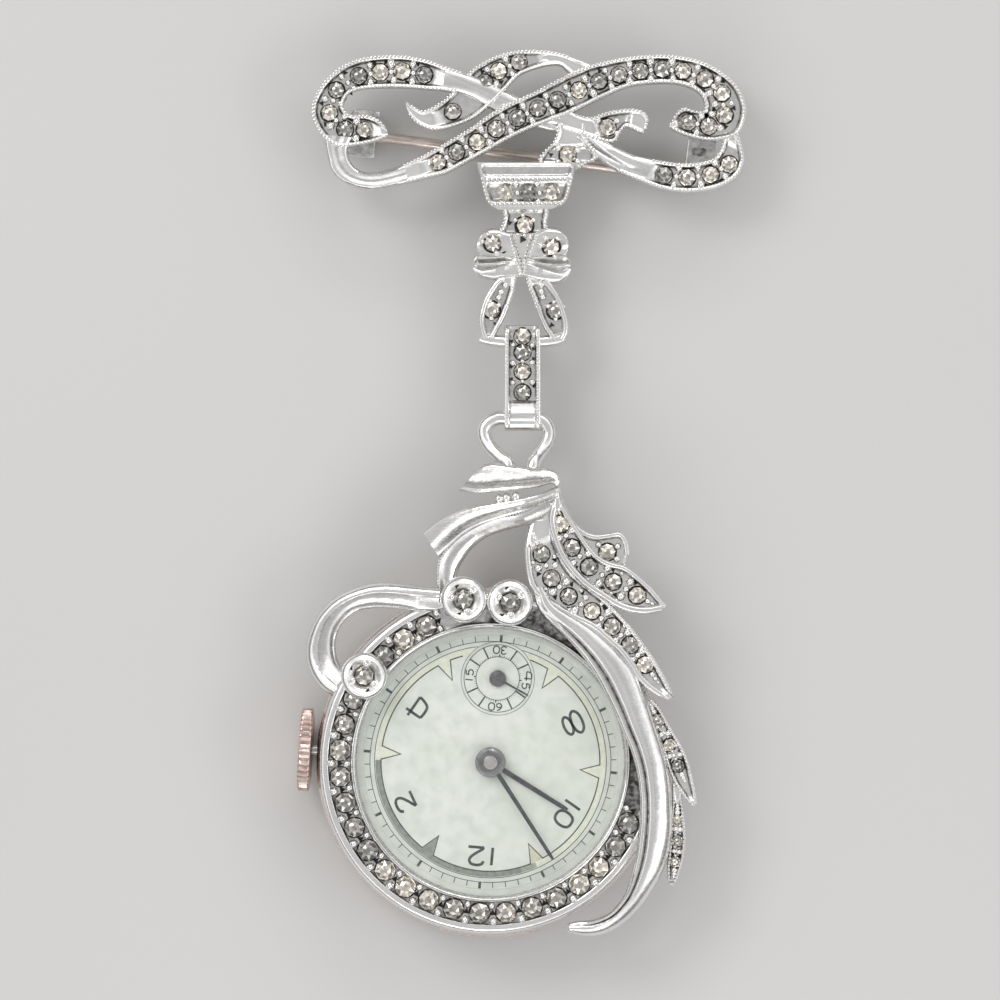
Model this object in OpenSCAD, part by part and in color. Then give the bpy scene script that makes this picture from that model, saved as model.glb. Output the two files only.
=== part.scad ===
/* [Brooch] */
// Width across the scrolled brooch
brooch_w = 35.2; // [33:0.1:38]
// Height of the scrolled brooch
brooch_h = 11.5; // [11:0.1:13]
// Height of the openwork's back over the surface it lies on
brooch_back = 3.8; // [3.5:0.1:4.2]
// Thickness of the lower bands of the openwork
low_band_t = 1.3; // [1.1:0.05:1.6]
// Thickness of the long band that crosses over the others
high_band_t = 1.9; // [1.7:0.05:2.2]

/* [Bow] */
// Width of the bow
bow_w = 7.9; // [7.4:0.1:9]
// Height from the bow's bottom bar to the top of the cup above it
bow_h = 15.1; // [14.5:0.1:17]
// Thickness of the bow's plate
bow_t = 1.1; // [0.9:0.05:1.4]
// Diameter of the bottom bar that the link hangs on
bar_d = 1; // [0.8:0.05:1.1]

/* [Pin and catch] */
// Diameter of the pin stem
pin_d = 0.86; // [0.6:0.02:0.9]
// Diameter of the knuckle at the pin's hinged end
knuckle_d = 1.6; // [1.5:0.05:1.9]
// Width of the knuckle between the bracket's ears
knuckle_w = 1.8; // [1.4:0.1:2]
// Radius of the ears' round feet and height of the pin's axis
ear_r = 1.15; // [1.1:0.05:1.3]
// Thickness of each ear of the bracket
ear_t = 0.9; // [0.7:0.05:1.1]
// Diameter of the rivet through the knuckle
rivet_d = 0.6; // [0.4:0.02:0.8]
// Length of the catch along the pin
catch_l = 1.6; // [1.3:0.1:1.8]
// Wall of the catch and of the sleeve that turns in it
catch_wall = 0.24; // [0.2:0.01:0.28]
// Reach of the sleeve's thumb tab from the pin's axis
tab_reach = 2.3; // [1.8:0.1:2.4]

/* [Link] */
// Length of the folded link over its two bends
link_l = 8.6; // [8:0.1:10]
// Width of the link
link_w = 2.9; // [2.7:0.1:3.4]
// Wall of the folded strip
link_t = 0.4; // [0.3:0.02:0.5]
// Thickness of the set front of the link
link_front_t = 0.9; // [0.8:0.05:1.1]
// Play of the bow's bar in the link's upper bend
link_slack = 0.45; // [0.2:0.05:0.6]
// Diameter of the wire loop on the watch
loop_wire_d = 1.15; // [1:0.05:1.25]
// Height of the bow's bar and of the loop's wire
hang_z = 4.7; // [4.5:0.05:4.9]
// Offset of the hanging line from the middle of the watch
hang_off = 2.6; // [2.2:0.1:3]

/* [Watch case] */
// Diameter of the case
case_d = 28.3; // [27.8:0.1:30]
// Height of the case up to the bezel
case_h = 4.35; // [4.2:0.05:4.6]
// Thickness of the case's back
back_t = 0.9; // [0.6:0.05:1]
// Diameter of the bezel
bezel_d = 27.8; // [27:0.1:29]
// Height of the bezel ring
bezel_h = 2.9; // [2.7:0.05:3.2]
// Diameter of the opening over the dial
glass_d = 21.8; // [21:0.1:22.2]
// Rise of the domed glass over the bezel
dome_rise = 1.3; // [1.1:0.05:1.6]
// Thickness of the glass
glass_t = 0.6; // [0.5:0.05:0.7]
// Reach of the opening lip beyond the case
lip_reach = 0.35; // [0.25:0.05:0.6]

/* [Dial and hands] */
// Thickness of the dial
dial_t = 0.38; // [0.3:0.02:0.4]
// Direction of the twelve o'clock mark
dial_turn = -95; // [-100:1:-80]
// Minutes shown since twelve o'clock
shown_minutes = 593.7; // [0:0.1:719]
// Seconds shown on the small dial
shown_seconds = 49; // [0:1:59]
// Length of the hour hand
hour_l = 7.3; // [6:0.1:8]
// Length of the minute hand
minute_l = 9.3; // [8:0.1:9.6]
// Length of the seconds hand
second_l = 2.8; // [2:0.1:2.9]
// Thickness of the hands
hand_t = 0.12; // [0.1:0.01:0.14]
// Diameter of the domed hub over the hands
hub_d = 2.5; // [2:0.1:2.8]
// Diameter of the small dial
small_dial_d = 5.8; // [5:0.1:6]

/* [Crown] */
// Diameter of the crown
crown_d = 6.8; // [5:0.1:7]
// Length of the crown
crown_l = 1.15; // [1:0.05:1.6]
// Ribs round the crown
crown_ribs = 32; // [24:2:48]
// Diameter of the winding stem
stem_d = 0.8; // [0.6:0.05:1]
// Travel of the crown when it is pulled to set the hands
stem_pull = 0.7; // [0.4:0.05:0.8]

/* [Stones] */
// Diameter of the small stones
stone_d = 1.3; // [1.1:0.02:1.4]
// Diameter of the stones in the ring
ring_stone_d = 1.72; // [1.4:0.02:1.8]
// Diameter of the stones in the rosettes
rosette_stone_d = 1.56; // [1.3:0.02:1.7]
// Height of a small stone over its seat
stone_h = 0.7; // [0.5:0.05:0.8]
// Gap between neighbouring small stones
stone_gap = 0.53; // [0.3:0.02:0.8]
// Stones in the ring
ring_stones = 23; // [18:1:23]
// Depth of the channels that hold the stones
channel_d = 0.55; // [0.4:0.05:0.6]
// Width of the plain rim beside a channel
rim_w = 0.36; // [0.25:0.01:0.42]

/* [Scrollwork] */
// Thickness of the polished ribbons
ribbon_t = 1.1; // [0.9:0.05:1.3]
// Rise of a ribbon's rounded back over its edges
ribbon_crown = 0.25; // [0.1:0.05:0.4]
// Thickness of the leaves
leaf_t = 1.7; // [1.5:0.05:2]
// Outer diameter of the rosettes
rosette_d = 3.8; // [3.4:0.05:4]
// Height of the rosettes
rosette_h = 2.2; // [2:0.05:2.4]

/* [Hidden] */
$fn = 48;

// Clearances, and the overlap and height step between pieces of one casting
seat_gap = 0.04;
run_gap = 0.05;
side_gap = 0.08;
overlap = 0.1;
step = 0.1;

// A cut stone's flat table as a share of its diameter
table_share = 0.5;
// Stones of the two slender leaves, as shares of the small stones
side_stone_share = 0.62;
low_stone_share = 0.5;

// Heights in the brooch and the bow
low_top = brooch_back + low_band_t;
high_top = brooch_back + high_band_t;
bow_back = hang_z - 0.7 * bar_d;
bow_top = bow_back + bow_t;
cup_top = bow_top + 3.5 * step;

// Heights in the watch
bezel_low = case_h + seat_gap;
bezel_top = bezel_low + bezel_h;
ledge_t = 0.27;
ledge_w = 0.16;
ledge_low = bezel_low + 0.44 * bezel_h;
dial_top = ledge_low - seat_gap;
dial_low = dial_top - dial_t;
ring_floor = bezel_top - 1.27 * channel_d;
seconds_z = dial_top + hand_t;
hour_z = seconds_z + 1.7 * hand_t;
minute_z = hour_z + 2.1 * hand_t;
hub_h = 0.24 * hub_d;
glass_edge_z = ledge_low + ledge_t + seat_gap;
glass_top = bezel_top - 0.17 * bezel_h + dome_rise;

// Radii in the watch
glass_r = glass_d / 2;
case_r = case_d / 2;
bezel_r = bezel_d / 2;
inner_rim_w = 0.4;
stone_play = 0.03;
ring_in = glass_r + inner_rim_w;
ring_r = ring_in + stone_play + ring_stone_d / 2;
ring_out = ring_in + ring_stone_d + 2 * stone_play;
cavity_r = glass_r - 0.15;
dial_r = glass_r - seat_gap;
ledge_r = glass_r - ledge_w;
dome_r = (glass_r * glass_r + dome_rise * dome_rise) / (2 * dome_rise);
lip_r = case_r + lip_reach;
lip_low = 0.44 * case_h;
lip_t = 0.5;
lip_span = 34;
ring_pitch = 10.05;
ring_start = -23.8;

// Small dial's middle, from the watch's middle towards six o'clock, and the depth it is sunk
small_dial_off = 0.31 * glass_d;
small_dial_sunk = 0.06;
arbor_d = 0.6;
arbor_root = 1;
small_arbor_d = 0.3;
hole_gap = 0.1;
hour_ring_d = 0.7 * hub_d;
minute_ring_d = 0.9 * hub_d;
second_ring_d = 0.48 * hub_d;

// Places up the hanging line; the whole piece is centred on the frame
field = 1.032 * bezel_d;
loop_r = loop_wire_d / 2;
loop_reach = 0.97 * field;
link_low_off = loop_reach - loop_r - seat_gap - link_t;
bar_off = link_low_off + link_l - link_t - link_slack - bar_d / 2;
bow_off = bar_off - bar_d / 2;
brooch_off = bow_off + 0.84 * bow_h;
watch_y = -(brooch_off + brooch_h - lip_r) / 2;
watch_x = -2.44;
hang_x = watch_x + hang_off;
field_x = watch_x + 0.01 * field;
field_y = watch_y - 0.005 * field;
link_low = watch_y + link_low_off;
bar_y = watch_y + bar_off;
bow_x = hang_x - 0.505 * bow_w;
bow_y = watch_y + bow_off;
brooch_x = hang_x - 0.486 * brooch_w;
brooch_y = watch_y + brooch_off;

// Link: clear height inside its bends, and the set front
link_gap = max(bar_d, loop_wire_d) + 2 * run_gap;
link_ring_h = link_gap + 2 * link_t;
link_front_low = hang_z + link_gap / 2 + link_t / 2;
link_front_top = hang_z + link_gap / 2 + link_front_t;
link_floor = max(link_front_top - channel_d, hang_z + link_ring_h / 2);
link_front_y = link_low + 0.35 * link_ring_h;
link_front_l = link_l - 0.42 * link_ring_h;
link_cell_l = 0.15 * link_l;
link_stone_y = link_front_y + link_cell_l + rim_w;

// Pin: the hinge and the catch as points of the brooch, the pin runs straight between them
pivot = [brooch_x + 0.117 * brooch_w, brooch_y + 0.42 * brooch_h];
catch_at = [brooch_x + 0.9 * brooch_w, brooch_y + 0.1 * brooch_h];
pin_z = ear_r;
pin_turn = atan2(catch_at.y - pivot.y, catch_at.x - pivot.x);
pin_run = norm(catch_at - pivot);
pin_past = 1.4;
pin_root_d = 1.3 * pin_d;
pin_root_l = ear_r + 1.2 * pin_d;
pin_taper = 2.6;
pin_tip_d = 0.2;
ear_y = knuckle_w / 2 + side_gap + ear_t / 2;
pad_t = 0.6;
pad_low = brooch_back - pad_t - pin_z;
pad_high = brooch_back + overlap - pin_z;
pin_gap = 0.07;
sleeve_in = pin_d / 2 + pin_gap;
sleeve_out = sleeve_in + catch_wall;
sleeve_l = catch_l + 2 * side_gap;
catch_in = sleeve_out + run_gap;
catch_out = catch_in + catch_wall;
slot_w = pin_d + 2 * pin_gap;
tab_l = 0.55;
tab_t = 0.4;
tab_angle = 20;
// Catch's pad along and across the pin
catch_pad_back = 1.5;
catch_pad_l = 2.3;
catch_pad_side = 0.9;
catch_pad_w = 4.4;

// Crown and stem lie beside the three o'clock mark, high enough to keep the crown off the surface
crown_lift = 0.15;
crown_z = crown_d / 2 + crown_lift;
crown_gap = 0.35;
crown_in = max(case_r, bezel_r) + crown_gap;
crown_turn = dial_turn - 88.5;
stem_reach = 1.9;
stem_in = cavity_r - stem_reach - stem_pull;
crown_bore = 0.7 * crown_l;
rib_d = 0.18;
crown_lip = 0.12;

// Bands of the brooch. Columns: left x, left y, right x, right y,
// in hundredths of brooch_w and brooch_h, seen in the direction of travel
LOOP = [[17.3, 44.5, 17.6, 38.5], [15.6, 50.5, 14.5, 35], [12.8, 54, 10.5, 32.5], [10.4, 53.5, 6.2, 31.6],
    [8.8, 54.5, 3, 37], [7.8, 57.5, 1, 46], [7.4, 61, 0, 56], [7.8, 65.5, 0.8, 67], [9, 69.5, 3.2, 78.5],
    [11.2, 71.8, 7, 88.5], [14.2, 72.8, 11.5, 94], [18.4, 73.2, 16.5, 96], [22.5, 72.8, 21.5, 95.8],
    [26.5, 71.8, 26.5, 93], [30, 71, 31, 88.3], [33, 69.5, 34.5, 84.6]];
CROSS_DOWN = [[31, 88, 30, 71, 98], [34.5, 84.6, 33, 69.8, 100], [38, 80.7, 35.5, 67.5, 99],
    [42, 76, 38, 64, 96], [46, 69.5, 40.4, 59.5, 93], [50, 63.5, 45, 53, 92], [54.5, 58, 51, 46, 92],
    [59, 52, 57, 41, 93], [64, 43, 61.4, 35.5, 95], [69.5, 33, 65, 25, 98], [75, 25, 70.5, 14, 100],
    [79, 22.6, 75.8, 7, 98]];
FOOT = [[75, 25, 70.5, 14], [79, 22.6, 75.8, 7], [83, 20.6, 80.6, 1.8], [87, 20, 86, -0.6],
    [90.4, 21.4, 91, 0.6], [92.6, 23.6, 95, 4.4], [93.6, 27, 98, 11], [94.2, 31, 99.5, 20],
    [94.6, 35.4, 99.3, 29], [95, 41, 98.4, 40]];
TURN = [[9.4, 38, 3, 40, 99], [8.4, 31, 3, 34, 98], [8.4, 26, 3.6, 25, 98], [9.2, 20, 4.3, 16.4, 99],
    [10.6, 15.6, 6.2, 8.8, 100], [12.6, 13.4, 9.4, 3.6, 101], [15.4, 13.6, 13.5, 1, 102],
    [18.4, 15.8, 18, 3, 103], [21.4, 19.2, 22.4, 6, 104], [24.6, 23.6, 26.6, 9.2, 105]];
LONG = [[21.4, 19.2, 22.4, 6], [24.6, 23.6, 26.6, 9.2], [28.5, 30, 31, 12.5], [32.6, 37.4, 35.6, 20],
    [37, 45.6, 40.2, 27.5], [41.4, 55, 45, 36], [46, 62.6, 50, 43.4], [50.6, 69, 54.6, 49],
    [55, 76, 59.2, 54.5], [59.5, 83, 63.5, 60.5], [64.5, 89, 67.8, 67], [70, 93, 72.5, 73],
    [75, 95.4, 76.5, 75.2], [80, 96.3, 80.5, 76], [85, 95.3, 84.2, 75.4], [89.6, 92, 87.2, 72.8],
    [93.6, 86, 89.2, 69], [96.8, 78.5, 90.2, 64.5], [99, 69.5, 90.5, 60.5], [100, 58.5, 90.4, 57.4],
    [99.7, 49.5, 90, 55.6], [98.4, 41, 89.2, 55.8], [95.2, 36.8, 88.2, 56.4], [91.5, 35.8, 87, 57.6],
    [88, 37.6, 85.6, 59], [84.6, 41, 84.2, 55.5], [82.6, 44.4, 82.9, 48]];
BACK = [[21.8, 64.5, 21.6, 60.5], [23.2, 61, 22.6, 53], [25.4, 57.3, 25, 46.2], [27.2, 58.8, 28.6, 43],
    [29, 61.8, 33, 46], [30.5, 65, 37.5, 51.8], [32.5, 71, 40.5, 59], [34.5, 78, 43, 66.5],
    [36.4, 84.4, 44.8, 72], [38.6, 89.4, 46.2, 76.8], [41.6, 94.4, 47.8, 81.6], [45.5, 98.3, 49.8, 84.6],
    [50, 100, 52.2, 87], [54, 99.5, 54.8, 88.8], [57.5, 97.6, 57.2, 88.8], [61, 94, 59, 84],
    [66, 88, 62, 76]];
TENDRIL = [[57, 62, 58, 44], [61, 55, 62.4, 40], [64, 52.6, 66, 36.6], [66.3, 54.6, 69.6, 34.5], [69, 57, 70.9, 40],
    [72, 58.4, 72.2, 45], [74.6, 58.3, 73.4, 44.4], [76.6, 56.4, 74.5, 42.8], [77.6, 52, 75.3, 41.6],
    [77.2, 45.5, 76, 41.2]];
SHOOT = [[63, 48, 56.4, 48], [63, 41, 56.4, 41], [64, 35, 55.4, 34], [65.4, 29, 53.8, 29],
    [65.6, 23, 52.6, 25], [63.4, 20, 52.2, 21], [61, 15, 53, 14]];
// Single stones on those bands. Columns: x, y in hundredths of brooch_w and brooch_h
BACK_STONE = [32.4, 57];
SHOOT_STONE = [58.4, 26.4];

// Cup and bow. Columns as above, in hundredths of bow_w and bow_h
CUP = [[106, 99.5, 3, 99.5], [104.5, 95, 5.5, 95], [102.5, 90.5, 8, 90], [99.5, 85, 10.5, 84],
    [96.5, 80, 13.5, 79.5], [91.5, 77, 18, 76.5], [82, 74.5, 25, 74]];
NECK = [[78, 76, 28, 76], [77.4, 71.5, 31, 71], [76, 67.5, 30, 67], [77, 63.5, 27, 63], [78, 59, 25, 59],
    [64, 54, 36, 54], [56, 46, 44, 46]];
WING_LEFT = [[44, 49, 44, 61.5], [33, 48.5, 34, 62.5], [24, 48.5, 26, 63.8], [16, 48.8, 18, 64],
    [9, 49.5, 11, 63.2], [4.6, 51.5, 6.6, 60], [3.6, 54, 4.2, 57]];
WING_RIGHT = [[57, 61.5, 57, 49], [67, 62.8, 68, 48.5], [75, 64.6, 76, 48.5], [82, 64.4, 84, 48.8],
    [89, 63.8, 91, 49.4], [94.5, 61.2, 96, 51], [97.6, 57, 97.8, 53.6]];
LOBE_LEFT = [[49.5, 37.5, 49.5, 48], [40, 37.4, 40, 49], [28, 37, 30, 49.6], [18, 36.6, 20, 49.8],
    [9, 37.4, 10, 50], [3, 39.4, 3.6, 49.4], [-0.4, 41.6, 0, 46.8]];
LOBE_RIGHT = [[49, 48, 49, 37.5], [59, 49, 58, 37], [68, 49.6, 68, 35.6], [78, 49.8, 80, 34.8],
    [88, 50.2, 90, 35], [95.6, 49.6, 96.4, 37.4], [99.4, 46.4, 99.8, 40.6]];
TAIL_LEFT = [[46, 40.6, 36, 43], [43.6, 34, 27, 38], [42, 29.6, 20.4, 34.6], [39.4, 25.4, 15, 30.4],
    [36.6, 21.4, 10.4, 26], [33.6, 17.4, 7.2, 21], [29.8, 13.4, 5.2, 15.6], [25.4, 9.4, 6.4, 10],
    [21, 5, 9.6, 4.6]];
TAIL_RIGHT = [[64, 43, 53, 40.4], [74, 37.5, 54.8, 34.6], [80.6, 34, 57.6, 30.4], [86.4, 30, 61, 26.2],
    [91, 25.6, 64, 21.6], [94.8, 20, 67, 17], [97.4, 14.4, 70.6, 12.6], [97.6, 8.4, 75.6, 8.4],
    [93.4, 4, 82.6, 4]];
KNOT_LEFT = [[43, 61, 37, 60.6], [45, 55, 39.6, 55], [47.4, 50, 42.4, 50], [49.4, 45, 45.4, 44.6],
    [51, 39, 48, 39]];
KNOT_RIGHT = [[66, 60.6, 59, 61], [62.4, 55, 56, 55], [58.6, 50, 53.4, 50], [55, 45, 51.2, 45],
    [52.4, 39, 49.4, 39]];
// Stones of the bow. Columns: x, y in hundredths of bow_w and bow_h
BOW_STONES = [[52.5, 65.8], [20, 56], [80, 54], [18.5, 20], [84.5, 19.5]];

// Leaves of the scrollwork. Columns: left x, left y, right x, right y, in hundredths of the field
LEAF_SHORT = [[19.4, 75, 18, 72], [21.6, 70, 19, 66], [24.4, 66.6, 22, 61], [28.2, 64.8, 25.4, 57.4],
    [32, 65, 29.2, 54.6], [35.4, 65.5, 33, 53.8], [37.2, 63.4, 35.4, 54.4], [37.7, 59.8, 36.8, 55.6]];
LEAF_TOP = [[18.6, 77.6, 17.2, 77], [19.6, 73.2, 16, 73], [21.6, 69.6, 15.2, 69], [24, 65.8, 16, 64.6],
    [26.6, 62, 18, 59.2], [29.4, 58.8, 21, 54.6], [33, 56.8, 25.2, 50.2], [37.2, 55.8, 30, 47],
    [41.2, 52.8, 34.6, 44.1], [44.8, 49.4, 39.4, 42.7], [47, 46.8, 44, 42.7], [48.5, 45, 48, 44]];
LEAF_LONG = [[16.6, 71, 9.8, 67.2], [17, 65.8, 8.7, 62], [18.4, 61, 8.8, 56], [20.6, 56.4, 10.2, 50.2],
    [23.8, 52.6, 13.4, 46.4], [27.4, 49.8, 18, 43.2], [31.4, 46.6, 23, 40.6], [35, 42.9, 27.4, 38.6],
    [38.8, 38.6, 31.6, 35], [42.2, 34, 35, 32], [45, 30, 38, 28], [47.4, 26, 40.4, 24.2],
    [49.3, 22.4, 44.2, 20.8], [50.5, 19.3, 48.6, 18]];
LEAF_SIDE = [[44.6, 18.4, 42.2, 17], [46.4, 16.4, 43.2, 14], [48.6, 12.6, 44.6, 10.4], [51, 8.4, 46.2, 6.6],
    [53.2, 4.6, 47.8, 2.6], [54.9, 0.2, 49.3, -1.8], [56.2, -5, 51, -5.6], [57, -9.2, 53.8, -9.4],
    [57, -11, 55.8, -12]];
LEAF_LOW = [[52.8, -6, 50.2, -5], [53.2, -11.6, 50.2, -11.4], [53.7, -15.6, 49.8, -15.2],
    [54, -20.6, 49.5, -20], [53.7, -25, 49.2, -25], [52.8, -29, 48.8, -29], [51.6, -32.4, 49, -32.2],
    [50.4, -33.8, 49.6, -33.8]];
// Polished ribbons. Columns: left x, left y, left z, right x, right y, right z, in hundredths of the
// field and, for z, of the height of the bezel's top
UPPER_END = [[-3.2, 84.3, 88, -10, 77.2, 96], [0, 85, 88, -5, 76.4, 101], [5, 84.4, 90, 1, 76.8, 106],
    [10, 83.8, 92, 7, 77.4, 110], [14, 83.6, 96, 12, 78, 112], [17.2, 82.4, 100, 16, 79, 113],
    [18.6, 80.2, 106, 18, 78, 113]];
LOWER_END = [[-20, 65.2, 88, -15.6, 58.6, 96], [-15.5, 68.7, 90, -12.5, 61.4, 100],
    [-10.5, 71.3, 92, -8.4, 65, 104], [-5, 73, 95, -4, 67.4, 107], [0, 73.8, 98, 0.5, 69, 110],
    [5, 74.6, 101, 5, 70.4, 112], [10, 75.6, 104, 9.4, 71.6, 114], [14, 76.8, 107, 13.4, 73, 115],
    [18.4, 78.6, 110, 18, 75, 115]];
UNDER_END = [[-16, 48, 96, -11.5, 48.5, 92], [-16.3, 54, 93, -10.3, 54, 90], [-15.4, 58.6, 90, -8.4, 57.8, 90],
    [-12.7, 62.2, 90, -5.4, 61.6, 92], [-8.8, 65.5, 92, -1.6, 64.2, 95], [-4.3, 68, 94, 3, 65.8, 98],
    [0.8, 69.8, 96, 7.5, 67, 102], [5.4, 70.6, 98, 11, 67.6, 106], [9.8, 72.4, 100, 14, 68.4, 110],
    [14.6, 75.6, 104, 18, 71, 112]];
CURL = [[-44.5, 19, 93, -38, 24, 99], [-48.4, 21.2, 88, -40.8, 25.4, 94],
    [-51.8, 25.8, 82, -43, 27, 88], [-53.1, 31, 78, -44.4, 30, 84], [-52.3, 36.5, 78, -44.8, 33.4, 84],
    [-49.8, 41.8, 80, -44.2, 37, 86], [-45.5, 46.4, 84, -42, 40.6, 90], [-40, 49.3, 88, -38.6, 43.1, 95],
    [-34, 51, 92, -33.6, 44, 99], [-28, 51, 95, -28, 43.9, 102], [-22, 50.3, 98, -22, 43.4, 104],
    [-15, 49.6, 100, -16, 43.2, 104]];
SWEEP = [[14, 50, 112, 10.4, 50, 106], [17, 45.4, 113, 12.4, 44, 110], [21.6, 42.4, 113, 15.6, 40.2, 113],
    [26.4, 39.6, 113, 19, 37, 114], [31, 36, 113, 22.4, 33.4, 115], [35, 32, 113, 25.8, 29.2, 115],
    [38.8, 27.6, 112, 28.9, 24.4, 115], [41.2, 23, 111, 31.6, 19.3, 115], [43.2, 17.6, 110, 34, 14.4, 115],
    [45.2, 11.6, 109, 36.2, 9.2, 115], [47.2, 5.6, 108, 38.4, 4.2, 115], [48.9, -0.4, 107, 40, -1.4, 115],
    [49.8, -6.6, 106, 40.8, -7.4, 115], [50.2, -13, 105, 41, -13, 115], [50.1, -19, 104, 40.6, -19.2, 114],
    [49.3, -24.6, 102, 39.9, -25.4, 112], [47.4, -30.4, 100, 38.6, -31.2, 110],
    [44.4, -35.8, 97, 37, -36.2, 107], [41.4, -40.2, 94, 35, -39.4, 104], [37.6, -44.2, 91, 32.6, -41.9, 101],
    [33.4, -47, 89, 29.8, -43.4, 98], [29, -48.5, 87, 27, -44.2, 95], [25, -48.6, 86, 24, -44.5, 93],
    [22, -47.8, 86, 21.6, -44.9, 90]];
// Wire loop on top of the watch. Columns: x, y in hundredths of the field, drop from ribbon to hang height
LOOP_WIRE = [[4.4, 82.6, 1], [4, 85, 0.9], [1.6, 86.8, 0.6], [-0.6, 88.8, 0.3], [-2.2, 91.2, 0.1],
    [-2.9, 93.8, 0], [-1.8, 96.2, 0], [1, 97.6, 0], [4.4, 97.6, 0], [8.6, 97.6, 0], [12, 97.5, 0],
    [14.6, 96.2, 0], [15.6, 93.6, 0], [15, 91, 0.1], [13.6, 88.8, 0.3], [12.2, 86.8, 0.6],
    [11.2, 85, 0.9], [10.8, 82.6, 1]];
// Middles of the rosettes. Columns: x, y in hundredths of the field
ROSETTES = [[-8.5, 46.5], [4.5, 45.7], [-36.5, 25]];
// Beads between the two ribbon ends. Columns: x, y, z as for the ribbons
BEADS = [[1.4, 74.8, 98], [3.5, 75.1, 99], [6.2, 75.5, 101]];
bead_d = 0.75;
// Outer wall of the bezel. Columns: radius, height in hundredths of bezel_r and bezel_h
BEZEL_WALL = [[96.4, 0], [99, 14], [100, 34], [100, 83], [98.6, 96], [96.8, 100]];
// Outer wall of the case. Columns: radius, height in hundredths of case_r and case_h
CASE_WALL = [[0, 0], [81.6, 0], [93, 8], [97.9, 21], [100, 39], [100, 88.5], [98.2, 97.2], [95.8, 100]];
// Rosette: narrow foot in the ring's channel, wide cup over it.
// Columns: radius, height in hundredths of rosette_d and rosette_h
ROSETTE = [[0, 0], [25, 0], [25, 50], [46, 55], [50, 66], [50, 84], [46, 95], [40, 100], [34, 95],
    [24, 59], [0, 59]];
// Domed hub over the hands. Columns: radius, height in hundredths of hub_d and hub_h
HUB = [[0, 3], [42, 3], [50, 17], [47, 47], [35, 80], [17.5, 95], [0, 100]];

// Rows of a profile table turned into lengths, lifted to height z
function profile(rows, r, h, z) = [for (p = rows) [p.x * r / 100, z + p.y * h / 100]];

function mix(a, b, t) = a + (b - a) * t;
function unit(v) = v / norm(v);

// Smooth curve through four neighbouring rows of a table, at share t between the middle two
function through(a, b, c, d, t) = 0.5 * (2 * b + (c - a) * t + (2 * a - 5 * b + 4 * c - d) * t * t
    + (3 * b - a - 3 * c + d) * t * t * t);
function row_at(rows, u) = let (last = len(rows) - 1, i = min(floor(u), last - 1))
    through(rows[max(i - 1, 0)], rows[i], rows[i + 1], rows[min(i + 2, last)], u - i);
function smooth(rows, from, to, steps) = let (n = max(1, round((to - from) * steps)))
    [for (k = [0 : n]) row_at(rows, mix(from, to, k / n))];
function whole(rows, steps) = smooth(rows, 0, len(rows) - 1, steps);

// Tables of hundredths turned into lengths at their places
function on_brooch(rows) = [for (r = rows) [brooch_x + r[0] * brooch_w / 100, brooch_y + r[1] * brooch_h / 100,
    brooch_x + r[2] * brooch_w / 100, brooch_y + r[3] * brooch_h / 100]];
function on_bow(rows) = [for (r = rows) [bow_x + r[0] * bow_w / 100, bow_y + r[1] * bow_h / 100,
    bow_x + r[2] * bow_w / 100, bow_y + r[3] * bow_h / 100]];
function on_field(rows) = [for (r = rows) [field_x + r[0] * field / 100, field_y + r[1] * field / 100,
    field_x + r[2] * field / 100, field_y + r[3] * field / 100]];
function field_ribbon(rows) = [for (r = rows) [field_x + r[0] * field / 100, field_y + r[1] * field / 100,
    r[2] * bezel_top / 100, field_x + r[3] * field / 100, field_y + r[4] * field / 100,
    r[5] * bezel_top / 100]];
function level_ribbon(flat, rows, top) = [for (i = [0 : len(rows) - 1])
    [flat[i][0], flat[i][1], rows[i][4] * top / 100, flat[i][2], flat[i][3], rows[i][4] * top / 100]];

// Outline of a band, down its left edge and back up its right edge
function outline(rows) = concat([for (r = rows) [r[0], r[1]]],
    [for (i = [len(rows) - 1 : -1 : 0]) [rows[i][2], rows[i][3]]]);
// The band's rows drawn in by w at both edges, never past the middle
function drawn_in(rows, w) = [for (r = rows) let (across = [r[2] - r[0], r[3] - r[1]],
    s = min(w / norm(across), 0.45)) [r[0] + across.x * s, r[1] + across.y * s,
    r[2] - across.x * s, r[3] - across.y * s]];

// Places at even steps along a band's middle line, from row u0 to row u1
function middle(r) = [(r[0] + r[2]) / 2, (r[1] + r[3]) / 2];
function run_to(pts, n) = n <= 0 ? 0 : norm(pts[n] - pts[n - 1]) + run_to(pts, n - 1);
function place_at(pts, want, i = 0, gone = 0) = let (step = norm(pts[i + 1] - pts[i]))
    (gone + step >= want || i + 2 >= len(pts)) ? mix(pts[i], pts[i + 1], min(1, (want - gone) / step))
    : place_at(pts, want, i + 1, gone + step);
function set_along(rows, u0, u1) = let (pts = [for (r = smooth(rows, u0, u1, 6)) middle(r)],
    total = run_to(pts, len(pts) - 1), n = max(1, round(total / (stone_d + stone_gap))))
    [for (k = [0 : n]) place_at(pts, total * k / n)];

module band(rows, low, top) {
    translate([0, 0, low])
        linear_extrude(top - low)
            polygon(outline(rows));
}

// Band with a channel sunk into its face between rows u0 and u1, leaving rims of width rim
module set_band(rows, low, top, u0, u1, rim = rim_w, deep = channel_d) {
    difference() {
        band(whole(rows, 4), low, top);
        band(drawn_in(smooth(rows, u0, u1, 4), rim), top - deep, top + overlap);
    }
}

// Band with a round seat for one stone
module pitted_band(rows, low, top, place) {
    difference() {
        band(whole(rows, 4), low, top);
        translate([place.x, place.y, top - channel_d])
            cylinder(d = stone_d + 2 * side_gap, h = channel_d + overlap);
    }
}

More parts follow.
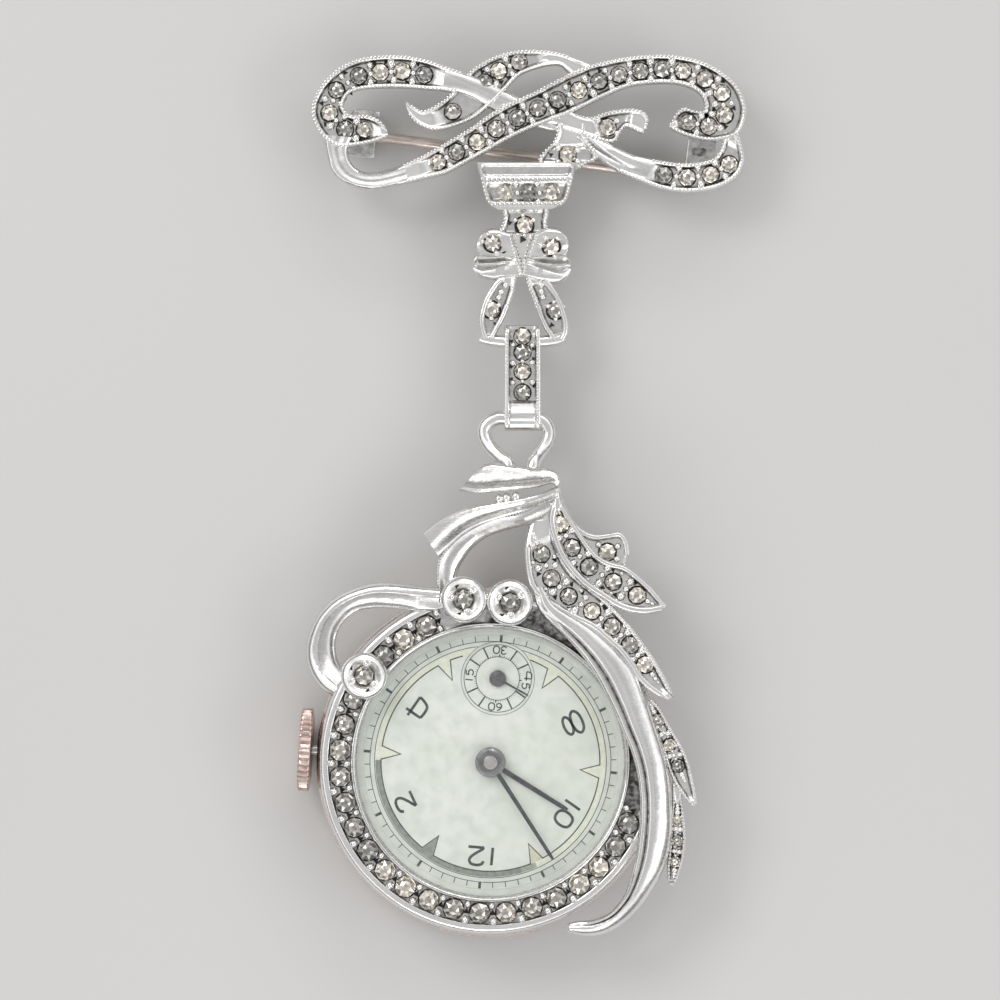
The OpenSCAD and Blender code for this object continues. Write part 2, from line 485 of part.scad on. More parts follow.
// Closed solid through rings of points, each ring clockwise seen from the start
module loft(points, sides) {
    last = len(points) / sides - 1;
    walls = [for (i = [0 : last - 1], k = [0 : sides - 1])
        let (a = i * sides + k, b = i * sides + (k + 1) % sides)
        each [[a, a + sides, b + sides], [a, b + sides, b]]];
    ends = [[for (k = [0 : sides - 1]) k], [for (k = [sides - 1 : -1 : 0]) last * sides + k]];
    polyhedron(points, concat(walls, ends));
}

// Ribbon of even thickness with a rounded back, through rows of left and right edge points
module ribbon(rows, thick, crown) {
    loft([for (r = rows) let (left = [r[0], r[1], r[2]], right = [r[3], r[4], r[5]])
        each [left - [0, 0, thick], left, mix(left, right, 0.28) + [0, 0, crown],
            mix(left, right, 0.72) + [0, 0, crown], right, right - [0, 0, thick]]], 6);
}

// Round wire along a path
module wire(path, r, sides) {
    last = len(path) - 1;
    loft([for (i = [0 : last], k = [0 : sides - 1])
        let (t = unit(path[min(i + 1, last)] - path[max(i - 1, 0)]),
            side = unit(cross(t, [0, 0, 1])), up = cross(side, t), a = 360 * k / sides)
        path[i] + r * (cos(a) * side - sin(a) * up)], sides);
}

// Cut stone: flat back, eight crown facets and a table
module stone(d, h) {
    rotate(22.5)
        cylinder(h = h, d1 = d, d2 = d * table_share, $fn = 8);
}

module stones_at(places, d, h, z) {
    for (p = places)
        translate([p.x, p.y, z])
            stone(d, h);
}

loop_rows = on_brooch(LOOP);
foot_rows = on_brooch(FOOT);
long_rows = on_brooch(LONG);
back_rows = on_brooch(BACK);
tendril_rows = on_brooch(TENDRIL);
shoot_rows = on_brooch(SHOOT);
cup_rows = on_bow(CUP);
back_stone = [brooch_x + BACK_STONE.x * brooch_w / 100, brooch_y + BACK_STONE.y * brooch_h / 100];
shoot_stone = [brooch_x + SHOOT_STONE.x * brooch_w / 100, brooch_y + SHOOT_STONE.y * brooch_h / 100];
bow_stone_places = [for (p = BOW_STONES) [bow_x + p.x * bow_w / 100, bow_y + p.y * bow_h / 100]];
cup_stone_row = row_at(cup_rows, 3);
cup_stone_places = [for (s = [0.22, 0.485, 0.75])
    mix([cup_stone_row[0], cup_stone_row[1]], [cup_stone_row[2], cup_stone_row[3]], s)];

module pin_place() {
    translate([pivot.x, pivot.y, pin_z])
        rotate(pin_turn)
            children();
}

// Two ears on a pad, with the rivet that the pin turns on
module hinge_bracket() {
    pin_place() {
        for (side = [-1, 1])
            translate([0, side * ear_y, 0]) {
                rotate([90, 0, 0])
                    cylinder(r = ear_r, h = ear_t, center = true);
                translate([-ear_r, -ear_t / 2, 0])
                    cube([2 * ear_r, ear_t, pad_low + overlap]);
            }
        translate([-ear_r, -ear_y - ear_t / 2, pad_low])
            cube([2 * ear_r, 2 * ear_y + ear_t, pad_high - pad_low]);
        rotate([90, 0, 0])
            cylinder(d = rivet_d, h = 2 * ear_y, center = true);
    }
}

// Open round catch hanging from its pad; the slot faces down
module catch_body() {
    pin_place()
        translate([pin_run, 0, 0]) {
            difference() {
                union() {
                    rotate([0, 90, 0])
                        cylinder(r = catch_out, h = catch_l, center = true);
                    translate([-catch_l / 2, -catch_out / 2, 0])
                        cube([catch_l, catch_out, pad_low + overlap]);
                }
                rotate([0, 90, 0])
                    cylinder(r = catch_in, h = 2 * catch_l, center = true);
                translate([-catch_l, -slot_w / 2, -2 * catch_out])
                    cube([2 * catch_l, slot_w, 2 * catch_out]);
            }
            translate([-catch_pad_back, -catch_pad_side, pad_low])
                cube([catch_pad_l, catch_pad_w, pad_high - pad_low]);
        }
}

module cup_and_neck() {
    difference() {
        band(whole(cup_rows, 4), brooch_back + step, cup_top);
        band(drawn_in(smooth(cup_rows, 2.2, 4.4, 4), 1.2 * rim_w), cup_top - channel_d, cup_top + overlap);
        band(drawn_in(smooth(cup_rows, 0.3, 1.7, 4), rim_w), cup_top - 0.5 * channel_d, cup_top + overlap);
    }
    band(whole(on_bow(NECK), 3), bow_back - step, bow_top - step);
}

module bow() {
    for (rows = [WING_LEFT, WING_RIGHT])
        band(whole(on_bow(rows), 3), bow_back + 0.5 * step, bow_top + 3 * step);
    for (rows = [LOBE_LEFT, LOBE_RIGHT])
        set_band(on_bow(rows), bow_back + step, bow_top + 2 * step, 1.6, 5.4, 0.8 * rim_w, 0.6 * channel_d);
    for (rows = [TAIL_LEFT, TAIL_RIGHT])
        set_band(on_bow(rows), bow_back, bow_top + step, 2.5, 7.4);
    for (rows = [KNOT_LEFT, KNOT_RIGHT])
        band(whole(on_bow(rows), 2), bow_back + 1.5 * step, bow_top + 5.5 * step);
    translate([bow_x + 0.16 * bow_w, bar_y, hang_z]) {
        rotate([0, 90, 0])
            cylinder(d = bar_d, h = 0.75 * bow_w);
        sphere(d = bar_d);
        translate([0.75 * bow_w, 0, 0])
            sphere(d = bar_d);
    }
}

module brooch_frame() {
    color("silver") {
        set_band(loop_rows, brooch_back, low_top, 0.8, 13.6);
        ribbon(whole(level_ribbon(on_brooch(CROSS_DOWN), CROSS_DOWN, low_top), 3),
            low_band_t - 1.5 * step, ribbon_crown);
        set_band(foot_rows, brooch_back, low_top + step, 1.4, 8);
        ribbon(whole(level_ribbon(on_brooch(TURN), TURN, low_top), 3), low_band_t - 1.5 * step, ribbon_crown);
        set_band(long_rows, brooch_back, high_top, 1.4, 25);
        difference() {
            pitted_band(back_rows, brooch_back, low_top - step, back_stone);
            band(drawn_in(smooth(back_rows, 7.2, 12, 4), rim_w), low_top - step - channel_d, low_top);
        }
        set_band(tendril_rows, brooch_back, low_top - 0.5 * step, 2.2, 4.8);
        pitted_band(shoot_rows, brooch_back, low_top - 1.5 * step, shoot_stone);
        cup_and_neck();
        difference() {
            bow();
            for (p = bow_stone_places)
                translate([p.x, p.y, bow_top - step])
                    cylinder(d = stone_d + 2 * side_gap, h = bow_t);
        }
        hinge_bracket();
        catch_body();
    }
}

module brooch_stones() {
    low_seat = low_top - channel_d + seat_gap;
    color("dimgray") {
        stones_at(set_along(loop_rows, 1.75, 12.8), stone_d, stone_h, low_seat);
        stones_at(set_along(foot_rows, 2.1, 6.4), stone_d, stone_h, low_seat + step);
        stones_at(set_along(long_rows, 1.95, 24.25), stone_d, stone_h, high_top - channel_d + seat_gap);
        stones_at(concat(set_along(back_rows, 8.8, 11.1), [back_stone]), stone_d, stone_h, low_seat - step);
        stones_at([middle(row_at(tendril_rows, 3.5))], stone_d, stone_h, low_seat - 0.5 * step);
        stones_at([shoot_stone], stone_d, stone_h, low_seat - 1.5 * step);
        stones_at(cup_stone_places, stone_d, stone_h, cup_top - channel_d + seat_gap);
    }
}

module bow_stones() {
    color("dimgray")
        stones_at(bow_stone_places, stone_d, stone_h, bow_top - step + seat_gap);
}

// Knuckle and stem in one, drawn to a point past the catch
module pin_stem() {
    color("tan")
        pin_place()
            difference() {
                union() {
                    rotate([90, 0, 0])
                        cylinder(d = knuckle_d, h = knuckle_w, center = true);
                    rotate([0, 90, 0]) {
                        cylinder(d1 = pin_root_d, d2 = pin_d, h = pin_root_l);
                        translate([0, 0, pin_root_l])
                            cylinder(d = pin_d, h = pin_run + pin_past - pin_taper - pin_root_l);
                    }
                    translate([pin_run + pin_past - pin_taper, 0, 0])
                        rotate([0, 90, 0])
                            cylinder(d1 = pin_d, d2 = pin_tip_d, h = pin_taper);
                }
                rotate([90, 0, 0])
                    cylinder(d = rivet_d + 2 * run_gap, h = 2 * knuckle_w, center = true);
            }
}

// Sleeve round the pin; shown open, with its slot over the catch's slot
module catch_lever() {
    color("silver")
        pin_place()
            translate([pin_run - sleeve_l / 2, 0, 0])
                difference() {
                    union() {
                        rotate([0, 90, 0])
                            cylinder(r = sleeve_out, h = sleeve_l + tab_l);
                        rotate([tab_angle, 0, 0])
                            translate([sleeve_l, sleeve_in + overlap, -tab_t / 2])
                                cube([tab_l, tab_reach - sleeve_in - overlap, tab_t]);
                    }
                    translate([-overlap, 0, 0])
                        rotate([0, 90, 0])
                            cylinder(r = sleeve_in, h = 2 * sleeve_l);
                    translate([-overlap, -slot_w / 2, -2 * sleeve_out])
                        cube([2 * sleeve_l, slot_w, 2 * sleeve_out]);
                }
}

// Section of the link across its bends: a long ring with round ends
module link_section(length, height) {
    square([length - height, height], center = true);
    for (end = [-1, 1])
        translate([end * (length - height) / 2, 0])
            circle(d = height);
}

module link() {
    color("silver") {
        translate([hang_x - link_w / 2, link_low + link_l / 2, hang_z])
            rotate([90, 0, 90])
                linear_extrude(link_w)
                    difference() {
                        link_section(link_l, link_ring_h);
                        link_section(link_l - 2 * link_t, link_gap);
                    }
        difference() {
            translate([hang_x - link_w / 2, link_front_y, link_front_low])
                cube([link_w, link_front_l, link_front_top - link_front_low]);
            translate([hang_x - link_w / 2 + rim_w, link_stone_y, link_floor])
                cube([link_w - 2 * rim_w, link_front_l - link_cell_l - 2 * rim_w, link_front_t]);
            translate([hang_x - link_w / 2 + rim_w, link_front_y + rim_w, link_front_top - 0.6 * channel_d])
                cube([link_w - 2 * rim_w, link_cell_l - rim_w, link_front_t]);
        }
    }
}

module link_stones() {
    first = link_stone_y + 0.6 * stone_d;
    last = link_front_y + link_front_l - rim_w - 0.6 * stone_d;
    n = max(1, floor((last - first) / (stone_d + side_gap)));
    color("dimgray")
        stones_at([for (k = [0 : n]) [hang_x, mix(first, last, k / n)]], stone_d, stone_h,
            link_floor + seat_gap);
}

// Stepped ring under the stones, turned in one piece
module bezel_ring() {
    translate([watch_x, watch_y, 0])
        rotate_extrude($fn = 96)
            polygon(concat([[glass_r, bezel_low]], profile(BEZEL_WALL, bezel_r, bezel_h, bezel_low),
                [[ring_out, bezel_top], [ring_out, ring_floor], [ring_in, ring_floor],
                [ring_in, bezel_top - step], [ring_in - step, bezel_top], [glass_r + step, bezel_top],
                [glass_r, bezel_top - step], [glass_r, ledge_low + ledge_t],
                [ledge_r, ledge_low + ledge_t], [ledge_r, ledge_low], [glass_r, ledge_low]]));
}

rosette_low = bezel_top - 0.45 * rosette_h;
rosette_seat = rosette_low + 0.59 * rosette_h;

module rosette() {
    rotate_extrude()
        polygon(profile(ROSETTE, rosette_d, rosette_h, rosette_low));
}

leaf_top = 1.14 * bezel_top;
long_leaf_top = 1.1 * bezel_top;
side_leaf_top = 0.99 * bezel_top;
low_leaf_top = 0.94 * bezel_top;
short_rows = on_field(LEAF_SHORT);
top_rows = on_field(LEAF_TOP);
long_leaf_rows = on_field(LEAF_LONG);
side_rows = on_field(LEAF_SIDE);
lower_rows = on_field(LEAF_LOW);
rosette_places = [for (p = ROSETTES) [field_x + p.x * field / 100, field_y + p.y * field / 100]];
ribbon_z = 0.9 * bezel_top;
loop_path = [for (r = LOOP_WIRE) [field_x + r.x * field / 100, field_y + r.y * field / 100,
    mix(hang_z, ribbon_z - ribbon_t / 2, r.z)]];
// Stones round the ring, leaving out any that would lie under a rosette
ring_places = [for (k = [0 : ring_stones - 1]) let (a = ring_start - k * ring_pitch,
    p = [watch_x + ring_r * cos(a), watch_y + ring_r * sin(a)])
    if (min([for (q = rosette_places) norm(p - q)]) > 0.4 * rosette_d) [p.x, p.y, a]];

module leaves() {
    set_band(short_rows, side_leaf_top - leaf_t, side_leaf_top, 3.2, 6.4);
    set_band(top_rows, leaf_top - leaf_t, leaf_top, 1.6, 9.8);
    set_band(long_leaf_rows, long_leaf_top - leaf_t, long_leaf_top, 1.6, 12);
    set_band(side_rows, side_leaf_top + step - leaf_t, side_leaf_top + step, 1.4, 6.4, rim_w / 2);
    set_band(lower_rows, low_leaf_top - leaf_t, low_leaf_top, 1.6, 6, rim_w / 2);
}

module ribbons() {
    for (rows = [UPPER_END, LOWER_END, UNDER_END, CURL])
        ribbon(whole(field_ribbon(rows), 3), ribbon_t, ribbon_crown);
    ribbon(whole(field_ribbon(SWEEP), 2), ribbon_t + 2 * step, ribbon_crown);
}

module bezel() {
    color("silver") {
        bezel_ring();
        leaves();
        ribbons();
        wire(whole(loop_path, 3), loop_r, 10);
        for (p = rosette_places)
            translate([p.x, p.y, 0])
                rosette();
        for (b = BEADS)
            translate([field_x + b.x * field / 100, field_y + b.y * field / 100, b.z * bezel_top / 100])
                sphere(d = bead_d, $fn = 24);
    }
}

module bezel_stones() {
    color("gray")
        for (p = ring_places)
            translate([p.x, p.y, ring_floor + seat_gap])
                rotate(p.z)
                    stone(ring_stone_d, stone_h);
}

module scroll_stones() {
    color("dimgray") {
        stones_at([middle(row_at(short_rows, 4.5))], stone_d, stone_h, side_leaf_top - channel_d + seat_gap);
        stones_at(set_along(top_rows, 2.3, 9), stone_d, stone_h, leaf_top - channel_d + seat_gap);
        stones_at(set_along(long_leaf_rows, 2.1, 11.1), stone_d, stone_h, long_leaf_top - channel_d + seat_gap);
        stones_at(set_along(side_rows, 2.5, 5.4), side_stone_share * stone_d, stone_h,
            side_leaf_top + step - channel_d + seat_gap);
        stones_at(set_along(lower_rows, 2.2, 5), low_stone_share * stone_d, stone_h,
            low_leaf_top - channel_d + seat_gap);
        stones_at(rosette_places, rosette_stone_d, stone_h, rosette_seat + seat_gap);
    }
}

module stem_place() {
    translate([watch_x, watch_y, crown_z])
        rotate(crown_turn)
            rotate([0, 90, 0])
                children();
}

// Back and middle in one turned piece, with a lip to open it by
module case() {
    color("silver")
        difference() {
            translate([watch_x, watch_y, 0]) {
                rotate_extrude($fn = 96)
                    polygon(concat(profile(CASE_WALL, case_r, case_h, 0),
                        [[cavity_r, case_h], [cavity_r, back_t], [0, back_t]]));
                rotate(-90 - lip_span / 2)
                    rotate_extrude(angle = lip_span, $fn = 96)
                        translate([case_r - lip_t, lip_low])
                            square([lip_t + lip_reach, lip_t]);
            }
            stem_place()
                cylinder(d = stem_d + 2 * run_gap, h = case_d);
        }
}

module small_dial_place() {
    translate([watch_x, watch_y, 0])
        rotate(dial_turn + 180)
            translate([small_dial_off, 0, 0])
                children();
}

// Plain block in the place of the works, with the arbors that carry the hands
module movement() {
    color("goldenrod") {
        difference() {
            translate([watch_x, watch_y, back_t + seat_gap])
                cylinder(r = cavity_r - seat_gap, h = dial_low - back_t - 2 * seat_gap, $fn = 96);
            stem_place()
                translate([0, 0, stem_in - run_gap])
                    cylinder(d = stem_d + 2 * run_gap, h = case_d);
        }
        translate([watch_x, watch_y, dial_low - arbor_root])
            cylinder(d = arbor_d, h = minute_z + hand_t + arbor_root - dial_low, $fn = 24);
        small_dial_place()
            translate([0, 0, dial_low - arbor_root])
                cylinder(d = small_arbor_d, h = seconds_z + hand_t + arbor_root - dial_low, $fn = 24);
    }
}

module dial() {
    color("honeydew")
        difference() {
            translate([watch_x, watch_y, dial_low])
                cylinder(r = dial_r, h = dial_t, $fn = 96);
            translate([watch_x, watch_y, 0])
                cylinder(d = arbor_d + 2 * hole_gap, h = 2 * dial_top, $fn = 24);
            small_dial_place() {
                translate([0, 0, dial_top - small_dial_sunk])
                    cylinder(d = small_dial_d, h = dial_t);
                cylinder(d = small_arbor_d + 2 * hole_gap, h = 2 * dial_top, $fn = 24);
            }
        }
}

// Low dome with an upright edge that sits on the bezel's ledge
module crystal() {
    color("aliceblue", 0.4)
        translate([watch_x, watch_y, 0])
            difference() {
                intersection() {
                    translate([0, 0, glass_edge_z])
                        cylinder(r = glass_r - seat_gap, h = glass_top, $fn = 96);
                    translate([0, 0, glass_top - dome_r])
                        sphere(r = dome_r, $fn = 96);
                }
                intersection() {
                    cylinder(r = glass_r - seat_gap - glass_t, h = glass_top, $fn = 96);
                    translate([0, 0, glass_top - glass_t - dome_r])
                        sphere(r = dome_r, $fn = 96);
                }
            }
}

// Straight tapered hand on a ring, pointing along +X
module hand(length, root_w, tip_w, ring_d, bore_d) {
    difference() {
        union() {
            linear_extrude(hand_t)
                polygon([[0, -root_w / 2], [length - tip_w, -tip_w / 2], [length, 0],
                    [length - tip_w, tip_w / 2], [0, root_w / 2]]);
            cylinder(d = ring_d, h = hand_t, $fn = 32);
        }
        translate([0, 0, -1])
            cylinder(d = bore_d, h = 2, $fn = 24);
    }
}

module hour_hand() {
    color("dimgray")
        translate([watch_x, watch_y, hour_z])
            rotate(dial_turn - shown_minutes / 2)
                hand(hour_l, 0.5, 0.3, hour_ring_d, arbor_d + 2 * run_gap);
}

module minute_hand() {
    bore_d = arbor_d + 2 * run_gap;
    color("dimgray")
        translate([watch_x, watch_y, minute_z]) {
            rotate(dial_turn - 6 * shown_minutes)
                hand(minute_l, 0.45, 0.22, minute_ring_d, bore_d);
            difference() {
                rotate_extrude()
                    polygon(profile(HUB, hub_d, hub_h, 0));
                cylinder(d = bore_d, h = 2 * hand_t, $fn = 24);
            }
        }
}

module seconds_hand() {
    color("dimgray")
        small_dial_place()
            translate([0, 0, seconds_z])
                rotate(180 - 6 * shown_seconds)
                    hand(second_l, 0.26, 0.14, second_ring_d, small_arbor_d + 2 * run_gap);
}

module winding_stem() {
    color("gray")
        stem_place()
            translate([0, 0, stem_in])
                cylinder(d = stem_d, h = crown_in + crown_bore - side_gap - stem_in, $fn = 32);
}

// Ribbed crown with a blind bore for the stem
module crown() {
    r = crown_d / 2;
    points = [for (k = [0 : 2 * crown_ribs - 1]) let (a = 180 * k / crown_ribs, q = r - (k % 2) * rib_d)
        [q * cos(a), q * sin(a)]];
    color("rosybrown")
        stem_place()
            translate([0, 0, crown_in])
                difference() {
                    union() {
                        translate([0, 0, crown_lip])
                            linear_extrude(crown_l - 2 * crown_lip)
                                polygon(points);
                        cylinder(r = r - 2 * rib_d, h = crown_l);
                    }
                    translate([0, 0, -1])
                        cylinder(d = stem_d + 2 * run_gap, h = 1 + crown_bore, $fn = 32);
                }
}

brooch_frame();
brooch_stones();
bow_stones();
pin_stem();
catch_lever();
link();
link_stones();
bezel();
bezel_stones();
scroll_stones();
case();
movement();
dial();
crystal();
hour_hand();
minute_hand();
seconds_hand();
winding_stem();
crown();
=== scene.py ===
import math
import random

import bmesh
import bpy
from mathutils import Matrix, Vector


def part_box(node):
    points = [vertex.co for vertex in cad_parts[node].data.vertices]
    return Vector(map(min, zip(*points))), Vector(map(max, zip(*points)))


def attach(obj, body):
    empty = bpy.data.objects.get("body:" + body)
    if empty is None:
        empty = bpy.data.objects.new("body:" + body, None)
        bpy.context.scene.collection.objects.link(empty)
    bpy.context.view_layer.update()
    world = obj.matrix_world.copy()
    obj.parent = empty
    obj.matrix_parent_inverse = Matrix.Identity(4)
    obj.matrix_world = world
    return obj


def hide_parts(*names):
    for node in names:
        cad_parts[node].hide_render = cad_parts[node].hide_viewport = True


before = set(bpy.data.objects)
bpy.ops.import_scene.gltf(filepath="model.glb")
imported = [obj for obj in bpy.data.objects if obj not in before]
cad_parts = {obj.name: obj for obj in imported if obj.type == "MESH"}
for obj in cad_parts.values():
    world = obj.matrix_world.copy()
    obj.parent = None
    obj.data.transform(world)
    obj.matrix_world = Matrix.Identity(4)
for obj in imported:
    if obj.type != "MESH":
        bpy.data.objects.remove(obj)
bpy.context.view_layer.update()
chance = random.Random(7)
MM = 0.001


def corners(node):
    """Lowest and highest corner of a CAD node in millimetres."""
    low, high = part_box(node)
    return low / MM, high / MM


# Places and sizes in millimetres, worked out from the CAD nodes
brooch_low, brooch_high = corners("brooch_frame")
link_low, link_high = corners("link")
glass_low, glass_high = corners("crystal")
case_low, case_high = corners("case")
crown_low, crown_high = corners("crown")
dial_top = corners("dial")[1].z
hour_z = corners("hour_hand")[0].z
minute_z = corners("minute_hand")[0].z
seconds_z = corners("seconds_hand")[0].z

# Brooch: its bands lie on two levels over one back
brooch_w = brooch_high.x - brooch_low.x
brooch_h = 0.3266 * brooch_w
brooch_at = (brooch_low.x, brooch_high.y - brooch_h, brooch_w, brooch_h)
brooch_back = 3.8
high_top = brooch_high.z
low_top = high_top - 0.6
band_rim = 0.37
band_depth = 0.34

# Pin: its way from the hinge to the catch, and the plates over both
pin_turn = -7.605
pin_z = 1.15
catch_x = 27.806
plate_low = 2.05
plate_high = 2.76

# Bow: its width, its height with the cup, and the height at which it hangs
hang_x = (link_low.x + link_high.x) / 2
hang_z = 4.7
bow_w = 0.2244 * brooch_w
bow_h = 0.4288 * brooch_w
bow_at = (hang_x - 0.505 * bow_w, brooch_low.y, bow_w, bow_h)
bow_back = 4.0
bow_top = 5.1

# Link: a strip folded to this height
link_w = link_high.x - link_low.x
link_fold = 2.05
link_wall = 0.4
link_y = (link_high.y + link_low.y) / 2
link_half = (link_high.y - link_low.y - link_fold) / 2

# Watch: case, stone-set ring, scrollwork and dial
centre = Vector(((glass_low.x + glass_high.x) / 2, (glass_low.y + glass_high.y) / 2, 0))
glass_r = (glass_high.x - glass_low.x) / 2
glass_wall = 0.6
case_r = (case_high.x - case_low.x) / 2
case_h = case_high.z
bezel_r = 0.9823 * case_r
bezel_low = case_h + 0.04
bezel_top = glass_high.z - 0.807
bezel_h = bezel_top - bezel_low
bezel_bore = 10.9
ring_floor = bezel_top - 0.66
ring_stone_r = 12.19
field = 2.064 * bezel_r
field_at = (centre.x + 0.01 * field, centre.y - 0.005 * field, field, field)
dial_turn = -95
small_dial = centre + Vector((0.589, 6.732, 0))
small_dial_z = dial_top - 0.06

# Stones, across
brooch_stone = 1.4
bow_stone = 1.42
link_stone = 1.36
leaf_stone = 1.42
ring_stone = 1.78
rosette_stone = 1.62
seat_drop = 0.1

# Sections of a band for each row of its table
BAND_STEPS = 5
LEAF_STEPS = 6

# Tables of the outlines, in hundredths of the widths and heights in brooch_at, bow_at and field_at.
# Bands of the brooch: left x, left y, right x, right y, seen in the direction of travel, and where a
# band changes its height, that height in hundredths of its top
LOOP = [[17.3, 44.5, 17.6, 38.5], [15.6, 50.5, 14.5, 35], [12.8, 54, 10.5, 32.5], [10.4, 53.5, 6.2, 31.6],
    [8.8, 54.5, 3, 37], [7.8, 57.5, 1, 46], [7.4, 61, 0, 56], [7.8, 65.5, 0.8, 67], [9, 69.5, 3.2, 78.5],
    [11.2, 71.8, 7, 88.5], [14.2, 72.8, 11.5, 94], [18.4, 73.2, 16.5, 96], [22.5, 72.8, 21.5, 95.8],
    [26.5, 71.8, 26.5, 93], [30, 71, 31, 88.3], [33, 69.5, 34.5, 84.6]]
CROSS_DOWN = [[31, 88, 30, 71, 98], [34.5, 84.6, 33, 69.8, 100], [38, 80.7, 35.5, 67.5, 99],
    [42, 76, 38, 64, 96], [46, 69.5, 40.4, 59.5, 93], [50, 63.5, 45, 53, 92], [54.5, 58, 51, 46, 92],
    [59, 52, 57, 41, 93], [64, 43, 61.4, 35.5, 95], [69.5, 33, 65, 25, 98], [75, 25, 70.5, 14, 100],
    [79, 22.6, 75.8, 7, 98]]
FOOT = [[75, 25, 70.5, 14], [79, 22.6, 75.8, 7], [83, 20.6, 80.6, 1.8], [87, 20, 86, -0.6],
    [90.4, 21.4, 91, 0.6], [92.6, 23.6, 95, 4.4], [93.6, 27, 98, 11], [94.2, 31, 99.5, 20],
    [94.6, 35.4, 99.3, 29], [95, 41, 98.4, 40]]
TURN = [[9.4, 38, 3, 40, 99], [8.4, 31, 3, 34, 98], [8.4, 26, 3.6, 25, 98], [9.2, 20, 4.3, 16.4, 99],
    [10.6, 15.6, 6.2, 8.8, 100], [12.6, 13.4, 9.4, 3.6, 101], [15.4, 13.6, 13.5, 1, 102],
    [18.4, 15.8, 18, 3, 103], [21.4, 19.2, 22.4, 6, 104], [24.6, 23.6, 26.6, 9.2, 105]]
LONG = [[21.4, 19.2, 22.4, 6], [24.6, 23.6, 26.6, 9.2], [28.5, 30, 31, 12.5], [32.6, 37.4, 35.6, 20],
    [37, 45.6, 40.2, 27.5], [41.4, 55, 45, 36], [46, 62.6, 50, 43.4], [50.6, 69, 54.6, 49],
    [55, 76, 59.2, 54.5], [59.5, 83, 63.5, 60.5], [64.5, 89, 67.8, 67], [70, 93, 72.5, 73],
    [75, 95.4, 76.5, 75.2], [80, 96.3, 80.5, 76], [85, 95.3, 84.2, 75.4], [89.6, 92, 87.2, 72.8],
    [93.6, 86, 89.2, 69], [96.8, 78.5, 90.2, 64.5], [99, 69.5, 90.5, 60.5], [100, 58.5, 90.4, 57.4],
    [99.7, 49.5, 90, 55.6], [98.4, 41, 89.2, 55.8], [95.2, 36.8, 88.2, 56.4], [91.5, 35.8, 87, 57.6],
    [88, 37.6, 85.6, 59], [84.6, 41, 84.2, 55.5], [82.6, 44.4, 82.9, 48]]
BACK = [[21.8, 64.5, 21.6, 60.5], [23.2, 61, 22.6, 53], [25.4, 57.3, 25, 46.2], [27.2, 58.8, 28.6, 43],
    [29, 61.8, 33, 46], [30.5, 65, 37.5, 51.8], [32.5, 71, 40.5, 59], [34.5, 78, 43, 66.5],
    [36.4, 84.4, 44.8, 72], [38.6, 89.4, 46.2, 76.8], [41.6, 94.4, 47.8, 81.6], [45.5, 98.3, 49.8, 84.6],
    [50, 100, 52.2, 87], [54, 99.5, 54.8, 88.8], [57.5, 97.6, 57.2, 88.8], [61, 94, 59, 84],
    [66, 88, 62, 76]]
TENDRIL = [[57, 62, 58, 44], [61, 55, 62.4, 40], [64, 52.6, 66, 36.6], [66.3, 54.6, 69.6, 34.5],
    [69, 57, 70.9, 40], [72, 58.4, 72.2, 45], [74.6, 58.3, 73.4, 44.4], [76.6, 56.4, 74.5, 42.8],
    [77.6, 52, 75.3, 41.6], [77.2, 45.5, 76, 41.2]]
SHOOT = [[63, 48, 56.4, 48], [63, 41, 56.4, 41], [64, 35, 55.4, 34], [65.4, 29, 53.8, 29],
    [65.6, 23, 52.6, 25], [63.4, 20, 52.2, 21], [61, 15, 53, 14]]
# Stones of the brooch: x, y
LOOP_STONES = [[12.1, 43.5], [7.8, 45], [4.2, 55.5], [6, 71], [10.8, 81], [15.9, 84], [21, 85], [26, 82]]
FOOT_STONES = [[81.2, 11.5], [86.7, 10], [92, 12], [96.5, 18.5]]
BACK_STONES = [[32.4, 57], [39.7, 78], [43, 85.5], [47.8, 91.5]]
TENDRIL_STONES = [[68, 46]]
SHOOT_STONES = [[58.4, 26.4]]
LONG_STONES = [[29, 20.3], [33.2, 27.8], [38, 33.9], [42.5, 43.1], [47.4, 51], [52.3, 58.4], [56.8, 63.8],
    [61.6, 70.6], [66.4, 76.5], [71, 81.3], [75.8, 83.7], [80.8, 85.2], [85.5, 84.1], [90.5, 78.7],
    [94.9, 69.9], [95.3, 53.2], [91.4, 44.8], [86.7, 49.2]]
# Cup, neck and bow, as for the bands
CUP = [[106, 99.5, 3, 99.5], [104.5, 95, 5.5, 95], [102.5, 90.5, 8, 90], [99.5, 85, 10.5, 84],
    [96.5, 80, 13.5, 79.5], [91.5, 77, 18, 76.5], [82, 74.5, 25, 74]]
NECK = [[78, 76, 28, 76], [77.4, 71.5, 31, 71], [76, 67.5, 30, 67], [77, 63.5, 27, 63], [78, 59, 25, 59],
    [64, 54, 36, 54], [56, 46, 44, 46]]
WING_LEFT = [[44, 49, 44, 61.5], [33, 48.5, 34, 62.5], [24, 48.5, 26, 63.8], [16, 48.8, 18, 64],
    [9, 49.5, 11, 63.2], [4.6, 51.5, 6.6, 60], [3.6, 54, 4.2, 57]]
WING_RIGHT = [[57, 61.5, 57, 49], [67, 62.8, 68, 48.5], [75, 64.6, 76, 48.5], [82, 64.4, 84, 48.8],
    [89, 63.8, 91, 49.4], [94.5, 61.2, 96, 51], [97.6, 57, 97.8, 53.6]]
LOBE_LEFT = [[49.5, 37.5, 49.5, 48], [40, 37.4, 40, 49], [28, 37, 30, 49.6], [18, 36.6, 20, 49.8],
    [9, 37.4, 10, 50], [3, 39.4, 3.6, 49.4], [-0.4, 41.6, 0, 46.8]]
